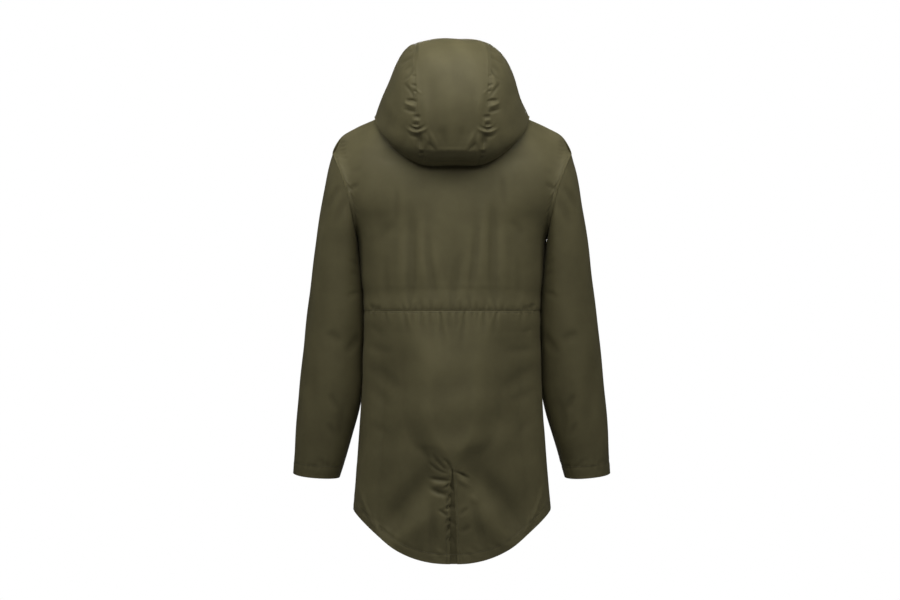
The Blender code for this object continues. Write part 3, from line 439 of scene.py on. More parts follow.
def lengths(points, axis):
    # how far along the cloth each point of a grid is
    steps = np.linalg.norm(np.diff(points, axis=axis), axis=-1)
    start = np.zeros_like(np.take(steps, [0], axis=axis))
    return np.cumsum(np.concatenate([start, steps], axis=axis), axis=axis)


def trimmed(points, rows, columns):
    # the named first and last rows and columns stop short of their seams
    points = points.copy()
    for axis, ends in enumerate((rows, columns)):
        view = np.moveaxis(points, axis, 0)
        for wanted, edge, inside in ((ends[0], 0, 1), (ends[1], -1, -2)):
            if wanted:
                inward = view[inside] - view[edge]
                inward /= np.maximum(np.linalg.norm(inward, axis=-1, keepdims=True), 1e-9)
                view[edge] += inward * cloth["seamGap"]
    return points


def panel(base, towards, folds, seams=((0, 0), (0, 0)), loop=False, slit=None, thickness=cloth["thickness"]):
    # The outer grid is the base raised by the folds along its normals, and the inner one lies a thickness
    # behind. Seams say which of the first and last rows, and of the first and last columns, are sewn.
    normal = gridNormals(base, towards, loop)
    outer = base + normal * folds[..., None]
    inner = outer - normal * thickness
    if not loop:
        outer, inner = trimmed(outer, *seams), trimmed(inner, *seams)
    wide = np.concatenate([base, base[:, :1]], axis=1) if loop else base
    smooth = folds.copy()
    for _ in range(10):
        padded = np.pad(smooth, 1, mode="edge")
        smooth = (padded[:-2, 1:-1] + padded[2:, 1:-1] + padded[1:-1, :-2] + padded[1:-1, 2:]) / 4
    return {
        "outer": outer,
        "inner": inner,
        "normal": normal,
        "u": lengths(wide, 1),
        "v": lengths(wide, 0),
        # the folds' height over their smoothed surroundings, which the shell paints darker in hollows as
        # painted shade and paler on ridges as painted highlight
        "crease": np.clip((folds - smooth) / 0.0004, -1, 1),
        "loop": loop,
        "slit": slit,
    }


def wallFaces(piece):
    # quads on the outer and inner grids and a rim along every open edge, by point and by place on the cloth
    rows, columns = piece["outer"].shape[:2]
    loop, slit = piece["loop"], piece["slit"]
    row, col = np.meshgrid(np.arange(rows - 1), np.arange(columns - (not loop)), indexing="ij")
    if slit:  # no faces between the slit's two columns, which are one column above it
        keep = np.arange(columns - 1) != slit["column"]
        row, col = row[:, keep], col[:, keep]
    row, col = row.ravel(), col.ravel()
    corners = ((row, col), (row, col + 1), (row + 1, col + 1), (row + 1, col))
    quads = np.stack([r * columns + c % columns for r, c in corners], axis=1)
    if slit:
        same = np.arange(rows * columns)
        joined = np.arange(slit["firstRow"]) * columns + slit["column"]
        same[joined + 1] = joined
        quads = same[quads]
    wide = columns + loop
    places = np.stack([r * wide + c for r, c in corners], axis=1)
    # Quads turn the same way all over a grid, so that one sum says whether they face outwards.
    points = piece["outer"].reshape(-1, 3)
    a, b, c, _ = (points[quads[:, i]] for i in range(4))
    if np.sum(np.cross(b - a, c - a) * piece["normal"].reshape(-1, 3)[quads[:, 0]]) < 0:
        quads, places = quads[:, ::-1], places[:, ::-1]
    edges, edgePlaces = (
        np.concatenate([corner[:, [i, (i + 1) % 4]] for i in range(4)]) for corner in (quads, places)
    )
    _, index, count = np.unique(np.sort(edges, axis=1), axis=0, return_inverse=True, return_counts=True)
    single = count[index.reshape(-1)] == 1
    start, end = edges[single].T
    shift = rows * columns
    rim = np.stack([end, start, start + shift, end + shift], axis=1)
    faces = np.concatenate([quads, quads[:, ::-1] + shift, rim])
    return faces, np.concatenate([places, places[:, ::-1], edgePlaces[single][:, [1, 0, 0, 1]]])


def wall(name, piece):
    # a closed wall between the outer and the inner grid, with the cloth's own coordinates
    faces, places = wallFaces(piece)
    used, faces = np.unique(faces, return_inverse=True)
    faces = faces.reshape(-1, 4)
    points = np.concatenate([piece["outer"].reshape(-1, 3), piece["inner"].reshape(-1, 3)])[used]
    mesh = bpy.data.meshes.new(name)
    mesh.vertices.add(len(points))
    mesh.vertices.foreach_set("co", points.astype(np.float32).ravel())
    mesh.loops.add(faces.size)
    mesh.loops.foreach_set("vertex_index", faces.astype(np.int32).ravel())
    mesh.polygons.add(len(faces))
    mesh.polygons.foreach_set("loop_start", np.arange(0, faces.size, 4, dtype=np.int32))
    mesh.update(calc_edges=True)
    layer = mesh.uv_layers.new(name="cloth")
    uv = np.stack([piece["u"].ravel(), piece["v"].ravel()], axis=1)[places.ravel()]
    layer.data.foreach_set("uv", uv.astype(np.float32).ravel())
    # the folds' relief kept on each point, for the painted shade and painted highlight along the folds
    crease = mesh.attributes.new("crease", "FLOAT", "POINT")
    values = np.concatenate([piece["crease"].ravel()] * 2)[used]
    crease.data.foreach_set("value", values.astype(np.float32))
    mesh.shade_smooth()
    mesh.set_sharp_from_angle(angle=math.radians(50))
    mesh.materials.append(shell)
    return rooted(name, mesh)


def newObject(name, data):
    obj = bpy.data.objects.new(name, data)
    bpy.context.scene.collection.objects.link(obj)
    return obj


def rooted(name, mesh):
    obj = newObject(name, mesh)
    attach(obj, "root")
    return obj


def mirrored(piece):
    # the same panel on the other side of the body
    flip = np.array([-1.0, 1, 1])
    return piece | {name: piece[name] * flip for name in ("outer", "inner", "normal")}


# Materials


def node(tree, kind, **values):
    # a shader node with its properties set by attribute and its sockets by name
    made = tree.nodes.new(kind)
    for name, value in values.items():
        if hasattr(made, name):
            setattr(made, name, value)
        else:
            made.inputs[name.replace("_", " ")].default_value = value
    return made


def newMaterial(name, roughness):
    material = bpy.data.materials.new(name)
    material.use_nodes = True
    shader = material.node_tree.nodes["Principled BSDF"]
    shader.inputs["Roughness"].default_value = roughness
    return material, material.node_tree, shader


def shaded(tree, factor, colour, shares, ends=(0, 1)):
    # the colour goes from its darker to its paler share as the factor goes from one end to the other
    ramp = node(tree, "ShaderNodeValToRGB")
    for stop, share, position in zip(ramp.color_ramp.elements, shares, ends):
        stop.position = position
        stop.color = (*np.array(colour) * share, 1)
    tree.links.new(factor, ramp.inputs["Fac"])
    tree.links.new(ramp.outputs["Color"], tree.nodes["Principled BSDF"].inputs["Base Color"])


def relief(tree, height, strength, distance):
    bump = node(tree, "ShaderNodeBump", Strength=strength, Distance=distance)
    tree.links.new(height, bump.inputs["Height"])
    tree.links.new(bump.outputs["Normal"], tree.nodes["Principled BSDF"].inputs["Normal"])


def combined(tree, operation, first, second):
    both = node(tree, "ShaderNodeMath", operation=operation)
    tree.links.new(first, both.inputs[0])
    tree.links.new(second, both.inputs[1])
    return both.outputs["Value"]


def noise(tree, scale, detail, **values):
    # noise on the object's own coordinates
    made = node(tree, "ShaderNodeTexNoise", Scale=scale, Detail=detail, **values)
    tree.links.new(node(tree, "ShaderNodeTexCoord").outputs["Object"], made.inputs["Vector"])
    return made.outputs["Fac"]


def shellMaterial():
    # olive cotton: a plain weave on the cloth's own coordinates, faint mottling, a painted highlight that
    # makes it paler along raised folds and a painted shade that makes it darker in their hollows
    material, tree, shader = newMaterial("oliveShell", cloth["roughness"])
    shader.inputs["Specular IOR Level"].default_value = 0.22
    shader.inputs["Sheen Weight"].default_value = 0.05
    shader.inputs["Sheen Roughness"].default_value = 0.45
    shader.inputs["Sheen Tint"].default_value = (0.75, 0.72, 0.55, 1)
    # painted shade and painted highlight: the colour goes darker in the folds' hollows and paler on their
    # ridges, with the random mottling mixed in
    crease = node(tree, "ShaderNodeAttribute", attribute_name="crease")
    foldShadeAndMottle = node(tree, "ShaderNodeMath", operation="MULTIPLY_ADD")
    foldShadeAndMottle.inputs[1].default_value = 0.18
    tree.links.new(crease.outputs["Fac"], foldShadeAndMottle.inputs[0])
    tree.links.new(noise(tree, 14.0, 4.0, Roughness=0.6), foldShadeAndMottle.inputs[2])
    shaded(tree, foldShadeAndMottle.outputs["Value"], cloth["colour"], (0.86, 1.12), (0.25, 0.75))
    # warp and weft: two sets of sine bands
    uv = node(tree, "ShaderNodeUVMap", uv_map="cloth")
    bands = []
    for way in ("X", "Y"):
        wave = node(tree, "ShaderNodeTexWave", bands_direction=way, Distortion=0.6)
        wave.inputs["Scale"].default_value = 0.314 / cloth["threadEvery"]
        tree.links.new(uv.outputs["UV"], wave.inputs["Vector"])
        bands.append(wave.outputs["Fac"])
    weave = combined(tree, "MULTIPLY", *bands)
    relief(tree, combined(tree, "ADD", weave, noise(tree, 420.0, 3.0)), 0.35, 0.00012)
    return material


def plainMaterial(name, colour, roughness, metallic=0.0, grainScale=300.0, grainDepth=0.00005):
    # one colour, with its tone and its fine relief broken up by one noise
    material, tree, shader = newMaterial(name, roughness)
    shader.inputs["Metallic"].default_value = metallic
    grain = noise(tree, grainScale, 3.0)
    shaded(tree, grain, colour, (0.85, 1.15))
    relief(tree, grain, 0.5, grainDepth)
    return material


shell = shellMaterial()
thread = plainMaterial("thread", cloth["threadColour"], 0.7, grainScale=2500.0)
tapeCloth = plainMaterial("zipTape", (0.030, 0.029, 0.022), 0.85, grainScale=900.0, grainDepth=0.0002)
metal = plainMaterial("zipMetal", (0.30, 0.28, 0.23), 0.38, metallic=1.0)
chainShade = plainMaterial("zipChain", (0.050, 0.047, 0.038), 0.75, grainScale=700.0, grainDepth=0.0001)
print("materials")

# The upper back

# rows and angles of the coarse grids that the panels of the body are refined from
armholeRows = np.concatenate([np.linspace(0, 1, 6), 1 + np.arange(1, 9) / 8])
backAngles = np.linspace(-90, 90, 37)

upperBack = {
    "rows": 170,
    "columns": 190,
    "flat": (0.52, 0.42),
    "creases": [
        # x0, z0, x1, z1, bow, width, depth, lean
        (80, -190, 78, -420, -3, 11, 3.4, 0.2),  # the two long folds, and the ridges beside them
        (-82, -180, -78, -410, 3, 11, 3.4, -0.2),
        (60, -190, 57, -360, 2, 11, -1.8, 0),
        (-63, -180, -60, -350, -2, 11, -1.8, 0),
        (50, -240, 28, -384, 4, 9, 2.2, 0.2),
        (-50, -220, -27, -378, -4, 9, 2.2, -0.2),
        (34, -280, 14, -396, 0, 9, -1.0, 0),
        (-34, -280, -20, -396, 0, 9, -1.0, 0),
        (-14, -290, 2, -405, 2, 7, 1.5, 0.2),
        (98, -230, 99, -395, 0, 10, -1.5, 0),
        (-98, -225, -99, -395, 0, 10, -1.5, 0),
        (108, -150, 113, -250, -2, 8, 1.6, 0),
        (113, -226, 134, -268, 3, 9, 1.2, 0.2),
        (-101, -135, -103, -205, 2, 8, 1.6, 0),
        (-111, -222, -134, -262, -3, 9, 1.2, -0.2),
        (150, -218, 152, -312, 0, 20, -3.0, 0),
        (-150, -218, -152, -312, 0, 20, -3.0, 0),
        (128, -290, 118, -392, 4, 9, 1.6, 0),
        (-128, -290, -120, -392, -4, 9, 1.6, 0),
        (210, -166, 182, -151, 1, 5, 1.6, 0.5),  # drag lines from the armhole
        (-210, -166, -182, -151, -1, 5, 1.6, -0.5),
        (202, -128, 176, -122, 1, 6, 0.6, 0.3),
        *(  # ripples beside its topstitches
            (side * x, z, side * (x - 15), z + 2, side * 2, 2.3, 1.0, 0)
            for side in (1, -1)
            for x, z in ((222, -72), (221, -79), (220, -87), (219, -94), (217, -102))
        ),
        (-202, -132, -176, -124, -1, 6, 0.6, -0.3),
        (160, -390, 132, -397, 1, 4, 1.6, 0.4),
        (-160, -389, -130, -396, -1, 4, 1.6, -0.4),
    ],
}


def upperBackFolds(base, row):
    # the sum of creases, tucks above the waist, a faint unevenness and the edges' own relief
    x, z = seen(base)
    up = lengths(base[::-1], 0)[::-1]  # along the cloth from the waist seam
    height = creases(x, z, upperBack["creases"]) + gathers(x, up, gathersAbove)
    height += 0.0009 * undulation(x, z * 0.45, 0.085, 5) * step(up, 0.0, 0.06)
    height += pastWaist(base, row) + waistSeam(up, 0.0008)
    # the cloth sinks a little under the edge of the hood
    height -= 0.0014 * fade(z + 0.121, 0.006) * step(-np.abs(x), -0.085, -0.060)
    inset = lengths(base, 1)
    inset = np.minimum(inset, inset[:, -1:] - inset)
    height += armholeEdge(row, lengths(base, 0), inset, 0.0005, 3)
    return height * step(row, 0.0, 0.15)


def buildUpperBack():
    rowKnots = np.array([*armholeRows, 2.125, 2.25, 2.375, 2.5, 2.67, 2.84, 3.0])
    row, angle = np.meshgrid(rowKnots, backAngles, indexing="ij")
    coarse = easedShoulder(backPoint(row, angle), row, angle)
    rows = 3 * np.linspace(0, 1, upperBack["rows"]) ** 0.85
    columns = 90 * np.linspace(-1, 1, upperBack["columns"])
    base = refined(coarse, rowKnots, backAngles, rows, columns)
    row, _ = np.meshgrid(rows, columns, indexing="ij")
    piece = panel(base, (0, 1, 0), upperBackFolds(base, row), ((1, 1), (1, 1)))
    obj = wall("backUpper", piece)
    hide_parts("back_upper")
    return piece


upperBackPiece = buildUpperBack()
print("upper back")

# The lower back and its vent

lowerBack = {
    "rows": 230,
    "rowShares": ((0, 0.22, 0.44, 0.50, 0.92, 1), (0, 0.12, 0.55, 0.60, 0.90, 1)),  # closest beside the vent
    "halfColumns": 90,
    "ventTopZ": -0.700,
    "ventLeft": 0.0040,
    "ventRight": -0.0098,
    "flat": (0.60, 0.50),
    "raised": {"z": (-890, -720, -685, -659, -606, -538, -470, -410), "x": (20, 20, 30, 49, 66, 66, 74, 96)},
    "broad": [
        (30, -708, 150, -862, 8, 28, 13.5, 0),  # the two deep folds that run down and outwards from the vent
        (-44, -710, -150, -856, -8, 28, 13.5, 0),
        (6, -782, 134, -866, 2, 16, -1.5, 0),
        (-16, -782, -128, -866, -2, 16, -1.5, 0),
        (37, -770, 38, -875, 0, 13, 3.6, 0),  # the valleys inside them
        (-40, -768, -66, -875, 0, 13, 3.6, 0),
        (172, -500, 90, -560, 0, 14, 1.6, 0),
        (-172, -500, -90, -560, 0, 14, 1.6, 0),
    ],
    "fine": [
        (17, -687, -1, -720, -4, 2.0, 3.0, 0.4),  # the arc that ends at the vent's top, and others beside it
        (36, -680, 6, -714, 3, 2.6, 2.4, 0.5),
        (47, -693, 6, -718, 5, 2.8, 2.2, 0.5),
        (60, -662, 44, -696, 0, 6.0, 1.4, 0),
        (8, -702, 0, -717, 0, 1.4, 0.9, 0),
        (-9, -704, -3, -715, 0, 1.3, 0.9, 0),
        (-16, -709, -4, -716, 0, 1.3, 0.9, 0),
        (46, -727, 0, -731, 1, 4.2, 3.2, 0.4),
        (42, -738, 6, -744, 0, 5.5, -1.8, 0),
        (44, -746, 3, -760, 2, 5.5, 3.6, 0.4),
        (9, -724, -1, -726, 0, 1.2, 0.8, 0),
        (0, -737, 16, -749, 0, 1.9, 2.6, 0.3),  # the left edge's notches
        (-1, -756, 11, -778, 0, 2.0, 2.2, 0.3),
        (0, -778, 11, -791, 0, 2.0, 2.6, 0.3),
        (25, -787, 5, -802, 0, 3.6, 2.4, 0.5),
        (-1, -803, 9, -818, 0, 2.0, 1.8, 0.3),
        (-2, -815, 10, -836, 0, 2.0, 2.6, 0.3),
        (0, -842, 9, -850, 0, 2.0, 1.2, 0.3),
        (-3, -715, -33, -731, -2, 2.6, 3.2, -0.6),
        (-8, -726, -34, -744, 0, 5.0, -2.0, 0),
        (-10, -801, -30, -784, 0, 4.5, 1.2, 0),
        (-34, -760, -52, -778, 0, 6.0, -1.0, 0),
        (-10, -836, -38, -820, 0, 6.0, 1.2, 0),
        (182, -740, 150, -834, 4, 3.5, -1.4, 0),  # ridges beside the hem's corners
        (158, -795, 146, -840, 2, 3.5, -1.2, 0),
        (-182, -728, -150, -834, -4, 3.5, -1.4, 0),
        (-157, -795, -146, -838, -2, 3.5, -1.2, 0),
        (168, -462, 110, -482, 3, 9, 0.9, 0.2),  # drag lines on the flanks
        (-168, -470, -96, -476, -3, 8, 0.8, -0.2),
        (170, -530, 118, -588, 5, 11, 1.1, 0.2),
        (-172, -548, -104, -574, -5, 10, 0.9, -0.2),
        (168, -610, 128, -640, 4, 9, 0.8, 0.1),
        (-166, -594, -122, -654, -4, 11, 1.0, -0.1),
        (156, -426, 124, -452, 2, 7, 0.8, 0.2),
        (-158, -430, -130, -446, -2, 7, 0.7, -0.2),
    ],
    "notches": (-737, -757, -779, -804, -817, -842),  # where the vent's left edge is drawn in
}


def lowerBackBroad(base, row):
    # a raised middle that narrows towards the vent, over the flanks, and the broad folds beside the vent
    x, z = seen(base)
    edge = read(lowerBack["raised"], "x", z / mm) * mm
    middle = step(edge + 0.030 - np.abs(x), 0.0, 0.058) * step(z, -0.800, -0.665) * step(-z, 0.36, 0.58)
    side = np.abs(x) / read(sideSeam, "x", np.interp(-z, (0.402, 0.594, 0.786), (3, 3.5, 4)))
    flank = step(side, 0.42, 0.80) * step(-side, -1.02, -0.76)
    flank *= step(-z, 0.42, 0.56) * step(z, -0.88, -0.76)
    hem = step(-z, 0.79, 0.90)  # it turns in
    height = 0.0125 * middle - 0.010 * flank - 0.008 * hem
    return height + pastWaist(base, row) + creases(x, z, lowerBack["broad"])


def lowerBackFolds(base, row):
    # the sum of broad folds, creases, tucks below the waist, a faint unevenness and the hem's relief
    x, z = seen(base)
    down = lengths(base, 0)
    up = down[-1:] - down
    height = lowerBackBroad(base, row) + creases(x, z, lowerBack["fine"]) + gathers(x, down, gathersBelow)
    height += 0.0009 * undulation(x, z, 0.090, 8) * step(down, 0.0, 0.06) + waistSeam(down, 0.0006)
    hem = undulation(x, z, 0.018, 11) * fade(up - stitchLines["hem"], 0.012)
    return height + turnedEdge(up, "hem") + 0.0005 * hem


def buildLowerBack():
    rowKnots = np.array([3.0, 3.02, 3.06, 3.12, 3.2, 3.32, 3.44, 3.54, 3.635, 3.72, 3.82, 3.91, 4.0])
    rows = 3 + np.interp(np.linspace(0, 1, lowerBack["rows"]), *lowerBack["rowShares"])
    half = 90 * np.linspace(0, 1, lowerBack["halfColumns"]) ** 1.2
    columns = np.concatenate([-half[::-1], half])
    coarse = backPoint(*np.meshgrid(rowKnots, backAngles, indexing="ij"))
    base = refined(coarse, rowKnots, backAngles, rows, columns)
    folds = lowerBackFolds(base, rows[:, None] + 0 * columns)
    # The slit opens sideways below its top. The cloth moves with each edge, less the further away it is.
    middle = len(half) - 1
    x, z = base[..., 0], base[..., 2]
    topZ, hemZ = lowerBack["ventTopZ"], z[-1, middle]
    opened = np.clip((topZ - z) / (topZ - hemZ), 0, 1) ** 0.55
    shift = np.where(np.arange(len(columns)) > middle, lowerBack["ventLeft"], lowerBack["ventRight"])
    notched = sum(0.0038 * fade(z - notch * mm - 0.006, 0.0035) for notch in lowerBack["notches"])
    shift = shift * opened + np.where(shift > 0, notched * step(opened, 0.0, 0.5), 0) * fade(x, 0.009)
    base[..., 0] += shift * np.clip(1 - np.abs(x) / 0.06, 0, 1) ** 2
    firstRow = int(np.argmax(z[:, middle] < topZ))
    piece = panel(base, (0, 1, 0), folds, ((1, 0), (1, 1)), slit={"column": middle, "firstRow": firstRow})
    obj = wall("backLower", piece)
    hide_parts("back_lower")
    return piece


underlap = {
    "rows": (3.55, 4.0, 110),
    "angles": (-5, 5, 26),
    "flat": (0.042, 0.24),
    "behind": 0.0048,
    "creases": [  # slanting folds down the strip
        (12, -738, -12, -756, 0, 4.0, 1.2, 0),
        (12, -768, -8, -790, 0, 5.0, 1.4, 0),
        (12, -806, -12, -822, 0, 4.0, 0.9, 0),
        (10, -830, -10, -862, 0, 6.0, 1.4, 0),
    ],
}


def buildUnderlap():
    row, angle = np.meshgrid(np.linspace(*underlap["rows"]), np.linspace(*underlap["angles"]), indexing="ij")
    base = backPoint(row, angle)
    base[..., 0] *= 0.96
    x, z = seen(base)
    folds = lowerBackBroad(base, row) - underlap["behind"] + creases(x, z, underlap["creases"])
    folds += 0.0006 * undulation(x * 0.5, z, 0.030, 17)
    piece = panel(base, (0, 1, 0), folds, thickness=0.0010)
    obj = wall("ventUnderlap", piece)
    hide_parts("vent_underlap")


lowerBackPiece = buildLowerBack()
buildUnderlap()
print("lower back and vent")

# The fronts

fronts = {
    "rows": 120,
    "columns": 56,
    "flat": (0.33, 0.80),
    "creases": [
        (60, -150, 70, -330, 4, 12, 2.2, 0.2),
        (110, -200, 96, -400, -6, 13, 2.4, 0),
        (40, -420, 60, -740, 6, 16, 2.6, 0),
        (130, -430, 118, -760, -8, 16, 2.8, 0),
        (208, -176, 168, -160, 2, 6, 1.6, 0.4),
        (160, -300, 120, -372, 4, 9, 1.6, 0.3),
        (30, -250, 44, -380, 3, 9, 1.4, 0),
    ],
}


def frontFolds(base, row, seed):
    # the sum of creases, a faint unevenness and the relief of the hem, the armhole and the edge at the zip
    x, z = np.abs(base[..., 0]), base[..., 2]
    down, fromZip = lengths(base, 0), lengths(base, 1)
    height = creases(x, z, fronts["creases"]) + 0.0010 * undulation(x, z * 0.5, 0.10, seed)
    height += turnedEdge(down[-1:] - down, "hem") + armholeEdge(row, down, fromZip[:, -1:] - fromZip, 0, seed)
    stitches = fade(fromZip - stitchLines["frontEdge"], 0.0012)
    height += 0.0004 * step(-fromZip, -0.010, -0.007) - 0.0005 * stitches
    return height * step(row, 0.0, 0.12) * step(fromZip, -0.001, 0.004)


def buildFront(name, solid, side, seed):
    rowKnots = np.array([*armholeRows, 2.125, 2.25, 2.375, 2.5, 2.75, 3.0, 3.25, 3.5, 3.75, 4.0])
    shareKnots = np.linspace(0, 1, 11)
    row, share = np.meshgrid(rowKnots, shareKnots, indexing="ij")
    start = angleAtX(row, zipSlot)
    angle = start + (90 - start) * share
    coarse = easedShoulder(frontPoint(row, angle), row, angle)
    rows, columns = np.linspace(0, 4, fronts["rows"]), np.linspace(0, 1, fronts["columns"])
    base = refined(coarse, rowKnots, shareKnots, rows, columns)
    folds = frontFolds(base, rows[:, None] + 0 * columns, seed)
    piece = panel(base, (0, -1, 0), folds, ((1, 0), (0, 1)))
    piece = mirrored(piece) if side < 0 else piece
    obj = wall(name, piece)
    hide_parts(solid)
    return piece


frontPieces = [buildFront("frontLeft", "front_left", 1, 21), buildFront("frontRight", "front_right", -1, 24)]
print("fronts")

# The sleeves

sleeves = {
    "rows": 180,
    "columns": 110,
    "flat": (0.46, 0.66),
    "back": [
        (218, -154, 242, -204, 2, 6, 1.8, 0.4),  # below the armhole
        (204, -178, 230, -238, 3, 9, 1.6, 0.2),
        (200, -298, 180, -312, 0, 4.5, 1.1, 0.4),  # pinches down the inner edge
        (200, -322, 178, -331, 0, 5, 1.2, 0.4),
        (206, -374, 176, -362, -2, 5.5, 1.6, 0.4),
        (208, -484, 182, -440, 3, 8, 2.2, 0.3),
        (214, -462, 248, -444, 2, 10, 1.6, 0),
        (238, -560, 220, -594, 2, 7, 1.5, 0.2),
        (210, -574, 218, -652, 3, 8, 1.6, 0.2),
        (243, -616, 226, -648, 0, 6, 1.2, 0.2),
        (264, -688, 240, -706, 0, 5, 0.9, 0.2),
        (252, -300, 246, -470, 6, 16, 1.8, 0),
        (270, -480, 262, -640, 4, 14, 1.6, 0),
    ],
    "front": [
        (214, -300, 178, -322, 2, 5, 1.8, 0.4),
        (226, -380, 180, -412, 4, 6, 2.6, 0.4),
        (236, -430, 184, -462, 4, 6, 3.0, 0.4),
        (244, -482, 190, -520, 4, 7, 2.6, 0.4),
        (262, -540, 206, -582, 3, 7, 1.8, 0.3),
        (262, -640, 232, -672, 2, 6, 1.6, 0.3),
        (262, -240, 258, -420, 4, 16, 1.6, 0),
    ],
}


def sleeveFolds(base, along, angle, seed):
    # the sum of creases, different behind and in front, a faint unevenness and the cuff's relief
    x, z = seen(base)
    behind = step(np.sin(np.radians(angle)), -0.15, 0.15)
    height = creases(x, z, sleeves["back"]) * behind + creases(x, z, sleeves["front"]) * (1 - behind)
    # the sleeve touches the body below the armhole, so the folds there only rise
    inner = fade((angle - 180) / 60, 0.7) * step(-along, -0.50, -0.28)
    height = height * (1 - inner) + (0.0022 + 0.5 * np.abs(height)) * inner
    height += 0.0010 * undulation(x, z * 0.5 + base[..., 1], 0.080, seed) * (1 - inner)
    down = lengths(base, 0)
    up = down[-1:] - down
    cuff = undulation(x * 2, z, 0.020, seed + 1) * fade(up - stitchLines["cuff"], 0.012)
    height += turnedEdge(up, "cuff") + 0.0004 * cuff
    return height * step(down, 0.002, 0.020) - 0.0007 * fade(down, 0.010)


def buildSleeve(name, solid, side, seed):
    rows = np.linspace(0, 1, sleeves["rows"]) ** 1.05
    columns = np.arange(sleeves["columns"]) * 360 / sleeves["columns"]
    along, angle = np.meshgrid(rows, columns, indexing="ij")
    base = sleevePoint(along, angle)
    towards = base - base.mean(axis=1, keepdims=True)
    piece = panel(base, towards, sleeveFolds(base, along, angle, seed), loop=True)
    piece = mirrored(piece) if side < 0 else piece
    obj = wall(name, piece)
    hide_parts(solid)
    return piece


sleevePieces = [
    buildSleeve("sleeveLeft", "sleeve_left", 1, 31),
    buildSleeve("sleeveRight", "sleeve_right", -1, 37),
]
print("sleeves")

# The panels of the hood

hood = {
    "rows": 280,
    "centreColumns": 76,
    "sideColumns": 100,
    "flatCentre": (0.15, 0.62),
    "flatSide": (0.42, 0.46),
    "puckers": [  # along both long seams, which are about 71 mm from the middle
        (66, 114, 92, 99, 0, 4.5, 2.0, 0.2),
        (74, 96, 104, 77, 1, 3.8, 1.7, 0.2),
        (75, 81, 96, 63, 1, 3.6, 1.2, 0.2),
        (75, 74, 95, 46, -3, 3.6, 2.0, 0.4),
        (79, 64, 84, 22, 0, 7.3, -1.9, 0),
        (95, 43, 74, 13, -2, 3.6, 1.7, -0.4),
        (79, 58, 69, 57, 0, 2.1, 1.2, 0),
        (80, 40, 69, 38, 0, 2.4, 1.7, 0),
        (78, 29, 67, 26, 0, 2.2, 1.5, 0),
        (71, 31, 59, 22, 0, 2.5, -0.9, 0),
        (91, 10, 68, 8, -1, 3.1, 3.2, 0.3),  # the pocket halfway down, and the tongue under it
        (93, 5, 69, -4, 1, 3.8, -2.8, 0),
        (95, -7, 69, -13, 1, 3.1, 2.0, 0),
        (77, -21, 60, -23, 0, 3.6, 2.3, 0.2),
        (77, -29, 62, -31, 0, 2.6, -1.4, 0),
        (79, -37, 63, -38, 0, 2.2, 1.7, 0),
        (78, -42, 64, -43, 0, 2.1, -1.4, 0),
        (86, -38, 52, -37, 9, 2.5, 1.9, 0),  # the tongue that crosses the seam
        (91, -44, 47, -43, 9, 2.9, -2.8, 0),
        (88, -53, 58, -54, 8, 3.4, 1.7, 0),
        (67, -56, 61, -80, 0, 6.2, 3.7, 0.2),  # the deep dimple
        (53, -55, 51, -80, -3, 3.8, -1.0, 0),
        (67, -83, 53, -85, 2, 2.9, -1.9, 0),
        (67, -92, 55, -95, 0, 2.7, 1.5, 0),
        (65, -101, 53, -102, 0, 2.5, 1.0, 0),
    ],
    "centreCreases": [
        (42, 60, 38, -20, 0, 9, 0.7, 0),
        (55, 26, 52, -40, 0, 7, -1.0, 0),
        (47, -46, 24, -92, 0, 5, -1.6, 0),
        (47, -70, 29, -88, 2, 3, 1.6, 0.4),
        (20, -40, 8, -84, 3, 9, 1.2, 0),
        (74, -87, -74, -87, 0, 5.0, -1.4, 0),  # the edge where the hood turns under
        (62, -108, -62, -108, 1, 2.2, 0.9, 0.4),
    ],
    "sideCreases": [
        (112, 40, 104, -20, 4, 12, 1.4, 0),
        (128, 0, 112, -56, 5, 13, 1.4, 0),
        (92, -30, 104, -96, -4, 10, 1.4, 0),
    ],
}


def hoodFolds(base, along, fromSeam, outside, seed):
    # The sum of puckers, creases, a faint unevenness and the face opening's relief. The puckers cross the
    # seams, and everything else fades out at them, so that the panels' edges meet.
    x, z = seen(base)
    y = base[..., 1]
    upright = step(y, 0.0, 0.04) * step(along, 0.17, 0.21)
    apart = step(fromSeam, 0.0, 0.012)
    height = creases(np.abs(x), z, hood["puckers"]) * upright
    # over the top the seams' puckers are even and small
    even = np.sin(2 * math.pi * y / 0.016) + 0.6 * np.sin(2 * math.pi * y / 0.0247)
    height += 0.0006 * even * fade(fromSeam, 0.009) * (1 - step(y, 0.0, 0.05)) * step(along, 0.5, 0.6)
    height += creases(np.abs(x), z, hood["sideCreases" if outside else "centreCreases"]) * upright * apart
    waves = undulation(base[..., 0] + y * 0.6, z + y * 0.3, 0.085, seed) * step(along, 0.10, 0.25)
    back = lengths(base, 0)
    back = back[-1:] - back
    return height + 0.0012 * waves * apart - 0.0003 * fade(fromSeam, 0.0016) + turnedEdge(back, "face")


def hoodRows():
    # closest over the upright part
    return np.interp(np.linspace(0, 1, hood["rows"]), (0, 0.08, 0.78, 1), (0, 0.15, 0.70, 1))


def wholeHoodPoint(along, angle):
    # the hood and its mirror image, by the sign of the angle
    points = hoodPoint(along, np.abs(angle))
    points[..., 0] *= np.sign(angle) + (angle == 0)
    return points


def buildHoodCentre():
    rows = hoodRows()
    across = np.linspace(-1, 1, hood["centreColumns"])
    along, share = np.meshgrid(rows, np.sign(across) * (1 - (1 - np.abs(across)) ** 1.3), indexing="ij")
    base = wholeHoodPoint(along, hoodSeamAngle(along) * share)
    across = lengths(base, 1)
    fromSeam = np.minimum(across, across[:, -1:] - across)
    folds = hoodFolds(base, along, fromSeam, False, 41)
    piece = panel(base, (0, 1, 1), folds, ((1, 0), (1, 1)))
    obj = wall("hoodCentre", piece)
    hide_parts("hood_centre")
    return piece


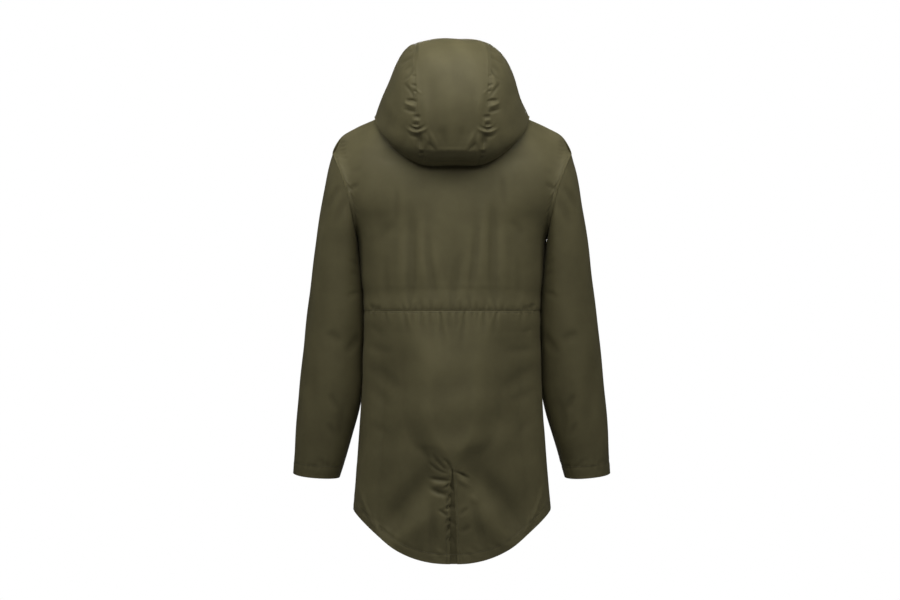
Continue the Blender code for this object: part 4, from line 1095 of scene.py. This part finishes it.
def buildHoodSide(name, solid, side, seed):
    rows = hoodRows()
    along, share = np.meshgrid(rows, np.linspace(0, 1, hood["sideColumns"]) ** 1.5, indexing="ij")
    base = hoodPoint(along, hoodSideAngle(along, share))
    fromSeam = lengths(base, 1)
    folds = hoodFolds(base, along, fromSeam, True, seed)
    folds *= step(fromSeam[:, -1:] - fromSeam, -0.001, 0.008)
    piece = panel(base, base * (1, 1, 0), folds, ((1, 0), (1, 0)))
    piece = mirrored(piece) if side < 0 else piece
    obj = wall(name, piece)
    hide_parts(solid)
    return piece


hoodPieces = [
    buildHoodCentre(),
    buildHoodSide("hoodLeft", "hood_left", 1, 43),
    buildHoodSide("hoodRight", "hood_right", -1, 47),
]
print("hood")

# The stitches

stitching = {"every": 0.0034, "length": 0.0026, "thick": 0.00032, "rise": 0.00022, "sink": -0.00020}


def edgeLine(piece, edge, inset, span=(0.0, 1.0)):
    # the line on a panel's outer face that runs at one distance from its edge
    turn = {
        "top": lambda grid: grid,
        "bottom": lambda grid: grid[::-1],
        "first": lambda grid: np.swapaxes(grid, 0, 1),
        "last": lambda grid: np.swapaxes(grid, 0, 1)[::-1],
    }[edge]
    outer, normal = turn(piece["outer"]), turn(piece["normal"])
    low, high = (int(round(s * (outer.shape[1] - 1))) for s in span)
    outer, normal = outer[:70, low : high + 1], normal[:70, low : high + 1]
    distance = lengths(outer, 0)
    later = np.maximum(np.argmax(distance >= inset, axis=0), 1)
    which = np.arange(outer.shape[1])
    before, after = distance[later - 1, which], distance[later, which]
    share = ((inset - before) / (after - before))[:, None]
    return outer[later - 1, which] * (1 - share) + outer[later, which] * share, normal[later, which]


def tubeFaces(rings):
    # the sides and both ends of a four-sided tube
    last = 4 * (rings - 1)
    around = ((0, 1), (1, 2), (2, 3), (3, 0))
    sides = [(r + i, r + k, r + 4 + k, r + 4 + i) for r in range(0, last, 4) for i, k in around]
    return np.array([*sides, (3, 2, 1, 0), (last, last + 1, last + 2, last + 3)])


def tubesMesh(name, points, faces, material):
    mesh = bpy.data.meshes.new(name)
    mesh.from_pydata(points, [], faces.tolist())
    mesh.materials.append(material)
    return rooted(name, mesh)


def onLine(at, along, values):
    return np.stack([np.interp(at, along, column) for column in values.T], axis=1)


def sew(name, *lines):
    # each stitch is a four-sided thread that rises from the cloth and dips back into it
    length, rise, sink = stitching["length"], stitching["rise"], stitching["sink"]
    stitches = []
    for points, normals in lines:
        along = lengths(points, 0)
        starts = np.arange(0.001, along[-1] - length, stitching["every"])
        rings = []
        for share, lift in ((0.0, sink), (0.18, rise), (0.82, rise), (1.0, sink)):
            at = starts + share * length
            centre, up = onLine(at, along, points), onLine(at, along, normals)
            side = np.cross(onLine(at + 1e-4, along, points) - centre, up)
            side /= np.linalg.norm(side, axis=1, keepdims=True)
            centre = centre + up * lift
            corners = [centre + way * stitching["thick"] for way in (side, up, -side, -up)]
            rings.append(np.stack(corners, axis=1))
        stitches.append(np.stack(rings, axis=1).reshape(-1, 16, 3))
    stitches = np.concatenate(stitches)
    faces = 16 * np.arange(len(stitches))[:, None, None] + tubeFaces(4)
    obj = tubesMesh(name, stitches.reshape(-1, 3), faces.reshape(-1, 4), thread)
    obj.data.shade_smooth()


def besideVent(left):
    # one side of the slit lower back, from the vent's top down
    slit = lowerBackPiece["slit"]
    columns = slice(slit["column"] + 1, None) if left else slice(None, slit["column"] + 1)
    return {key: lowerBackPiece[key][slit["firstRow"] :, columns] for key in ("outer", "normal")}


backArmhole, frontArmhole, hoodSeamSpan = (0.31, 0.675), (0.25, 0.50), (0.16, 1)
sew(
    "waistStitches",
    edgeLine(upperBackPiece, "bottom", stitchLines["waist"]),
    edgeLine(lowerBackPiece, "top", stitchLines["waist"]),
)
sew(
    "armholeStitches",
    *(edgeLine(upperBackPiece, edge, stitchLines["armhole"], backArmhole) for edge in ("first", "last")),
    *(edgeLine(piece, "last", stitchLines["armhole"], frontArmhole) for piece in frontPieces),
)
hemmed = (lowerBackPiece, *frontPieces)
sew("hemStitches", *(edgeLine(piece, "bottom", stitchLines["hem"]) for piece in hemmed))
sew("cuffStitches", *(edgeLine(piece, "bottom", stitchLines["cuff"]) for piece in sleevePieces))
sew(
    "ventStitches",
    edgeLine(besideVent(True), "first", stitchLines["ventLeft"]),
    edgeLine(besideVent(False), "last", stitchLines["ventRight"]),
)
sew(
    "hoodStitches",
    *(edgeLine(piece, "first", stitchLines["hoodSeam"], hoodSeamSpan) for piece in hoodPieces[1:]),
    *(edgeLine(piece, "bottom", stitchLines["face"]) for piece in hoodPieces),
)
sew("frontEdgeStitches", *(edgeLine(piece, "first", stitchLines["frontEdge"]) for piece in frontPieces))
print("stitches")

# The zip

zipTeeth = {
    "every": 0.0042,
    "width": 0.0034,
    "height": 0.0017,
    "depth": 0.0012,
    "proud": 0.0004,
    "aside": 0.0009,  # how far each column of teeth is from the chain's middle
}
zipFinish = {  # each solid's slot and material
    "zip_tape_left": ("zip_tape", tapeCloth),
    "zip_tape_right": ("zip_tape", tapeCloth),
    "zip_chain": ("zip_chain", chainShade),
    "zip_slider": ("zip_metal", metal),
    "zip_pull": ("zip_metal", metal),
}


def chainLine(obj):
    # the chain's front edge as y over z: its foremost vertices at each height that has any
    points = np.empty(len(obj.data.vertices) * 3)
    obj.data.vertices.foreach_get("co", points)
    points = points.reshape(-1, 3)
    heights = np.unique(points[:, 2].round(4))
    heights = heights[np.concatenate([[True], np.diff(heights) > 0.002])]
    front = np.array([points[np.abs(points[:, 2] - z) < 0.003, 1].min() for z in heights])
    return heights, front, points[:, 0].mean()


def buildTeeth(chain):
    # blocks with bevelled faces in two columns that take turns, each standing a little out of the chain
    heights, front, middle = chainLine(chain)
    z = np.arange(heights[0] + 0.004, heights[-1] - 0.004, zipTeeth["every"] / 2)
    side = np.where(np.arange(len(z)) % 2, 1.0, -1.0)
    y = np.interp(z, heights, front) - zipTeeth["proud"]
    centre = np.stack([middle + side * zipTeeth["aside"], y, z], axis=1)
    slope = np.gradient(y, z)
    corners = np.array([(-1, -1), (1, -1), (1, 1), (-1, 1)]) * 0.5
    rings = []
    for size, back in ((1.0, zipTeeth["depth"]), (1.0, 0.0004), (0.72, 0.0)):
        across, up = (corners * (zipTeeth["width"], zipTeeth["height"]) * size).T
        ring = centre[:, None] + np.stack([across, np.full(4, back), up], axis=1)
        ring[..., 1] += slope[:, None] * up
        rings.append(ring)
    faces = 12 * np.arange(len(z))[:, None, None] + tubeFaces(3)
    tubesMesh("zipTeeth", np.stack(rings, axis=1).reshape(-1, 3), faces.reshape(-1, 4), metal)


for name, (slotName, material) in zipFinish.items():
    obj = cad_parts[name]
    obj.data.materials.clear()
    obj.data.materials.append(material)
buildTeeth(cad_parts["zip_chain"])
print("zip")

# The studio

studioLights = {  # each light's place, size and watts
    "overhead": ((0, 0.9, 1.5), (1.6, 1.2), 17),
    "aboveBack": ((0, 1.5, 0.75), (1.4, 0.7), 7.5),
    "highLeft": ((1.6, 0.9, 1.4), (1.0, 1.0), 11),
    "highRight": ((-1.6, 0.9, 1.4), (1.0, 1.0), 11),
    "front": ((0, -3.4, 0.3), (1.2, 1.6), 62),
}
studio = {"aim": (0, 0, -0.38), "worldLight": 0.04, "floorHalf": 40, "floorZ": -1.35, "floorGrey": 0.30}


def areaLight(name, location, size, watts):
    light = bpy.data.lights.new(name, "AREA")
    light.shape = "RECTANGLE"
    light.size, light.size_y = size
    light.energy = watts
    obj = newObject(name, light)
    obj.location = location
    obj.rotation_euler = (Vector(studio["aim"]) - Vector(location)).to_track_quat("-Z", "Y").to_euler()


def onlyToCamera(tree, shown, others, output):
    # the camera sees one shader, and all other rays meet another
    rays, mix = node(tree, "ShaderNodeLightPath"), node(tree, "ShaderNodeMixShader")
    tree.links.new(rays.outputs["Is Camera Ray"], mix.inputs["Fac"])
    tree.links.new(others.outputs[0], mix.inputs[1])
    tree.links.new(shown.outputs[0], mix.inputs[2])
    tree.links.new(mix.outputs["Shader"], tree.nodes[output].inputs["Surface"])


def buildFloor():
    # seen by the camera it is as white as the backdrop, and it throws little light back up
    material, tree, shader = newMaterial("paleFloor", 1.0)
    shader.inputs["Base Color"].default_value = (*[studio["floorGrey"]] * 3, 1)
    onlyToCamera(tree, node(tree, "ShaderNodeEmission", Strength=1.0), shader, "Material Output")
    mesh = bpy.data.meshes.new("floor")
    half, level = studio["floorHalf"], studio["floorZ"]
    corners = [(-half, -half, level), (half, -half, level), (half, half, level), (-half, half, level)]
    mesh.from_pydata(corners, [], [(0, 1, 2, 3)])
    mesh.materials.append(material)
    newObject("floor", mesh)


def buildWorld():
    world = bpy.data.worlds.new("studio")
    bpy.context.scene.world = world
    world.use_nodes = True
    tree = world.node_tree
    lit = tree.nodes["Background"]
    lit.inputs["Color"].default_value = (1, 1, 1, 1)
    lit.inputs["Strength"].default_value = studio["worldLight"]
    backdrop = node(tree, "ShaderNodeBackground", Color=(1, 1, 1, 1), Strength=1.0)
    onlyToCamera(tree, backdrop, lit, "World Output")


def buildCamera():
    data = bpy.data.cameras.new("camera")
    data.lens, data.sensor_width = camera["lens"], camera["sensor"]
    view = newObject("camera", data)
    view.location = (camera["x"], camera["behind"], camera["height"])
    view.rotation_euler = (math.pi / 2, 0, math.pi)
    bpy.context.scene.camera = view
    bpy.context.scene.view_settings.view_transform = "Standard"


for name, values in studioLights.items():
    areaLight(name, *values)
buildWorld()
buildFloor()
buildCamera()
print("studio")
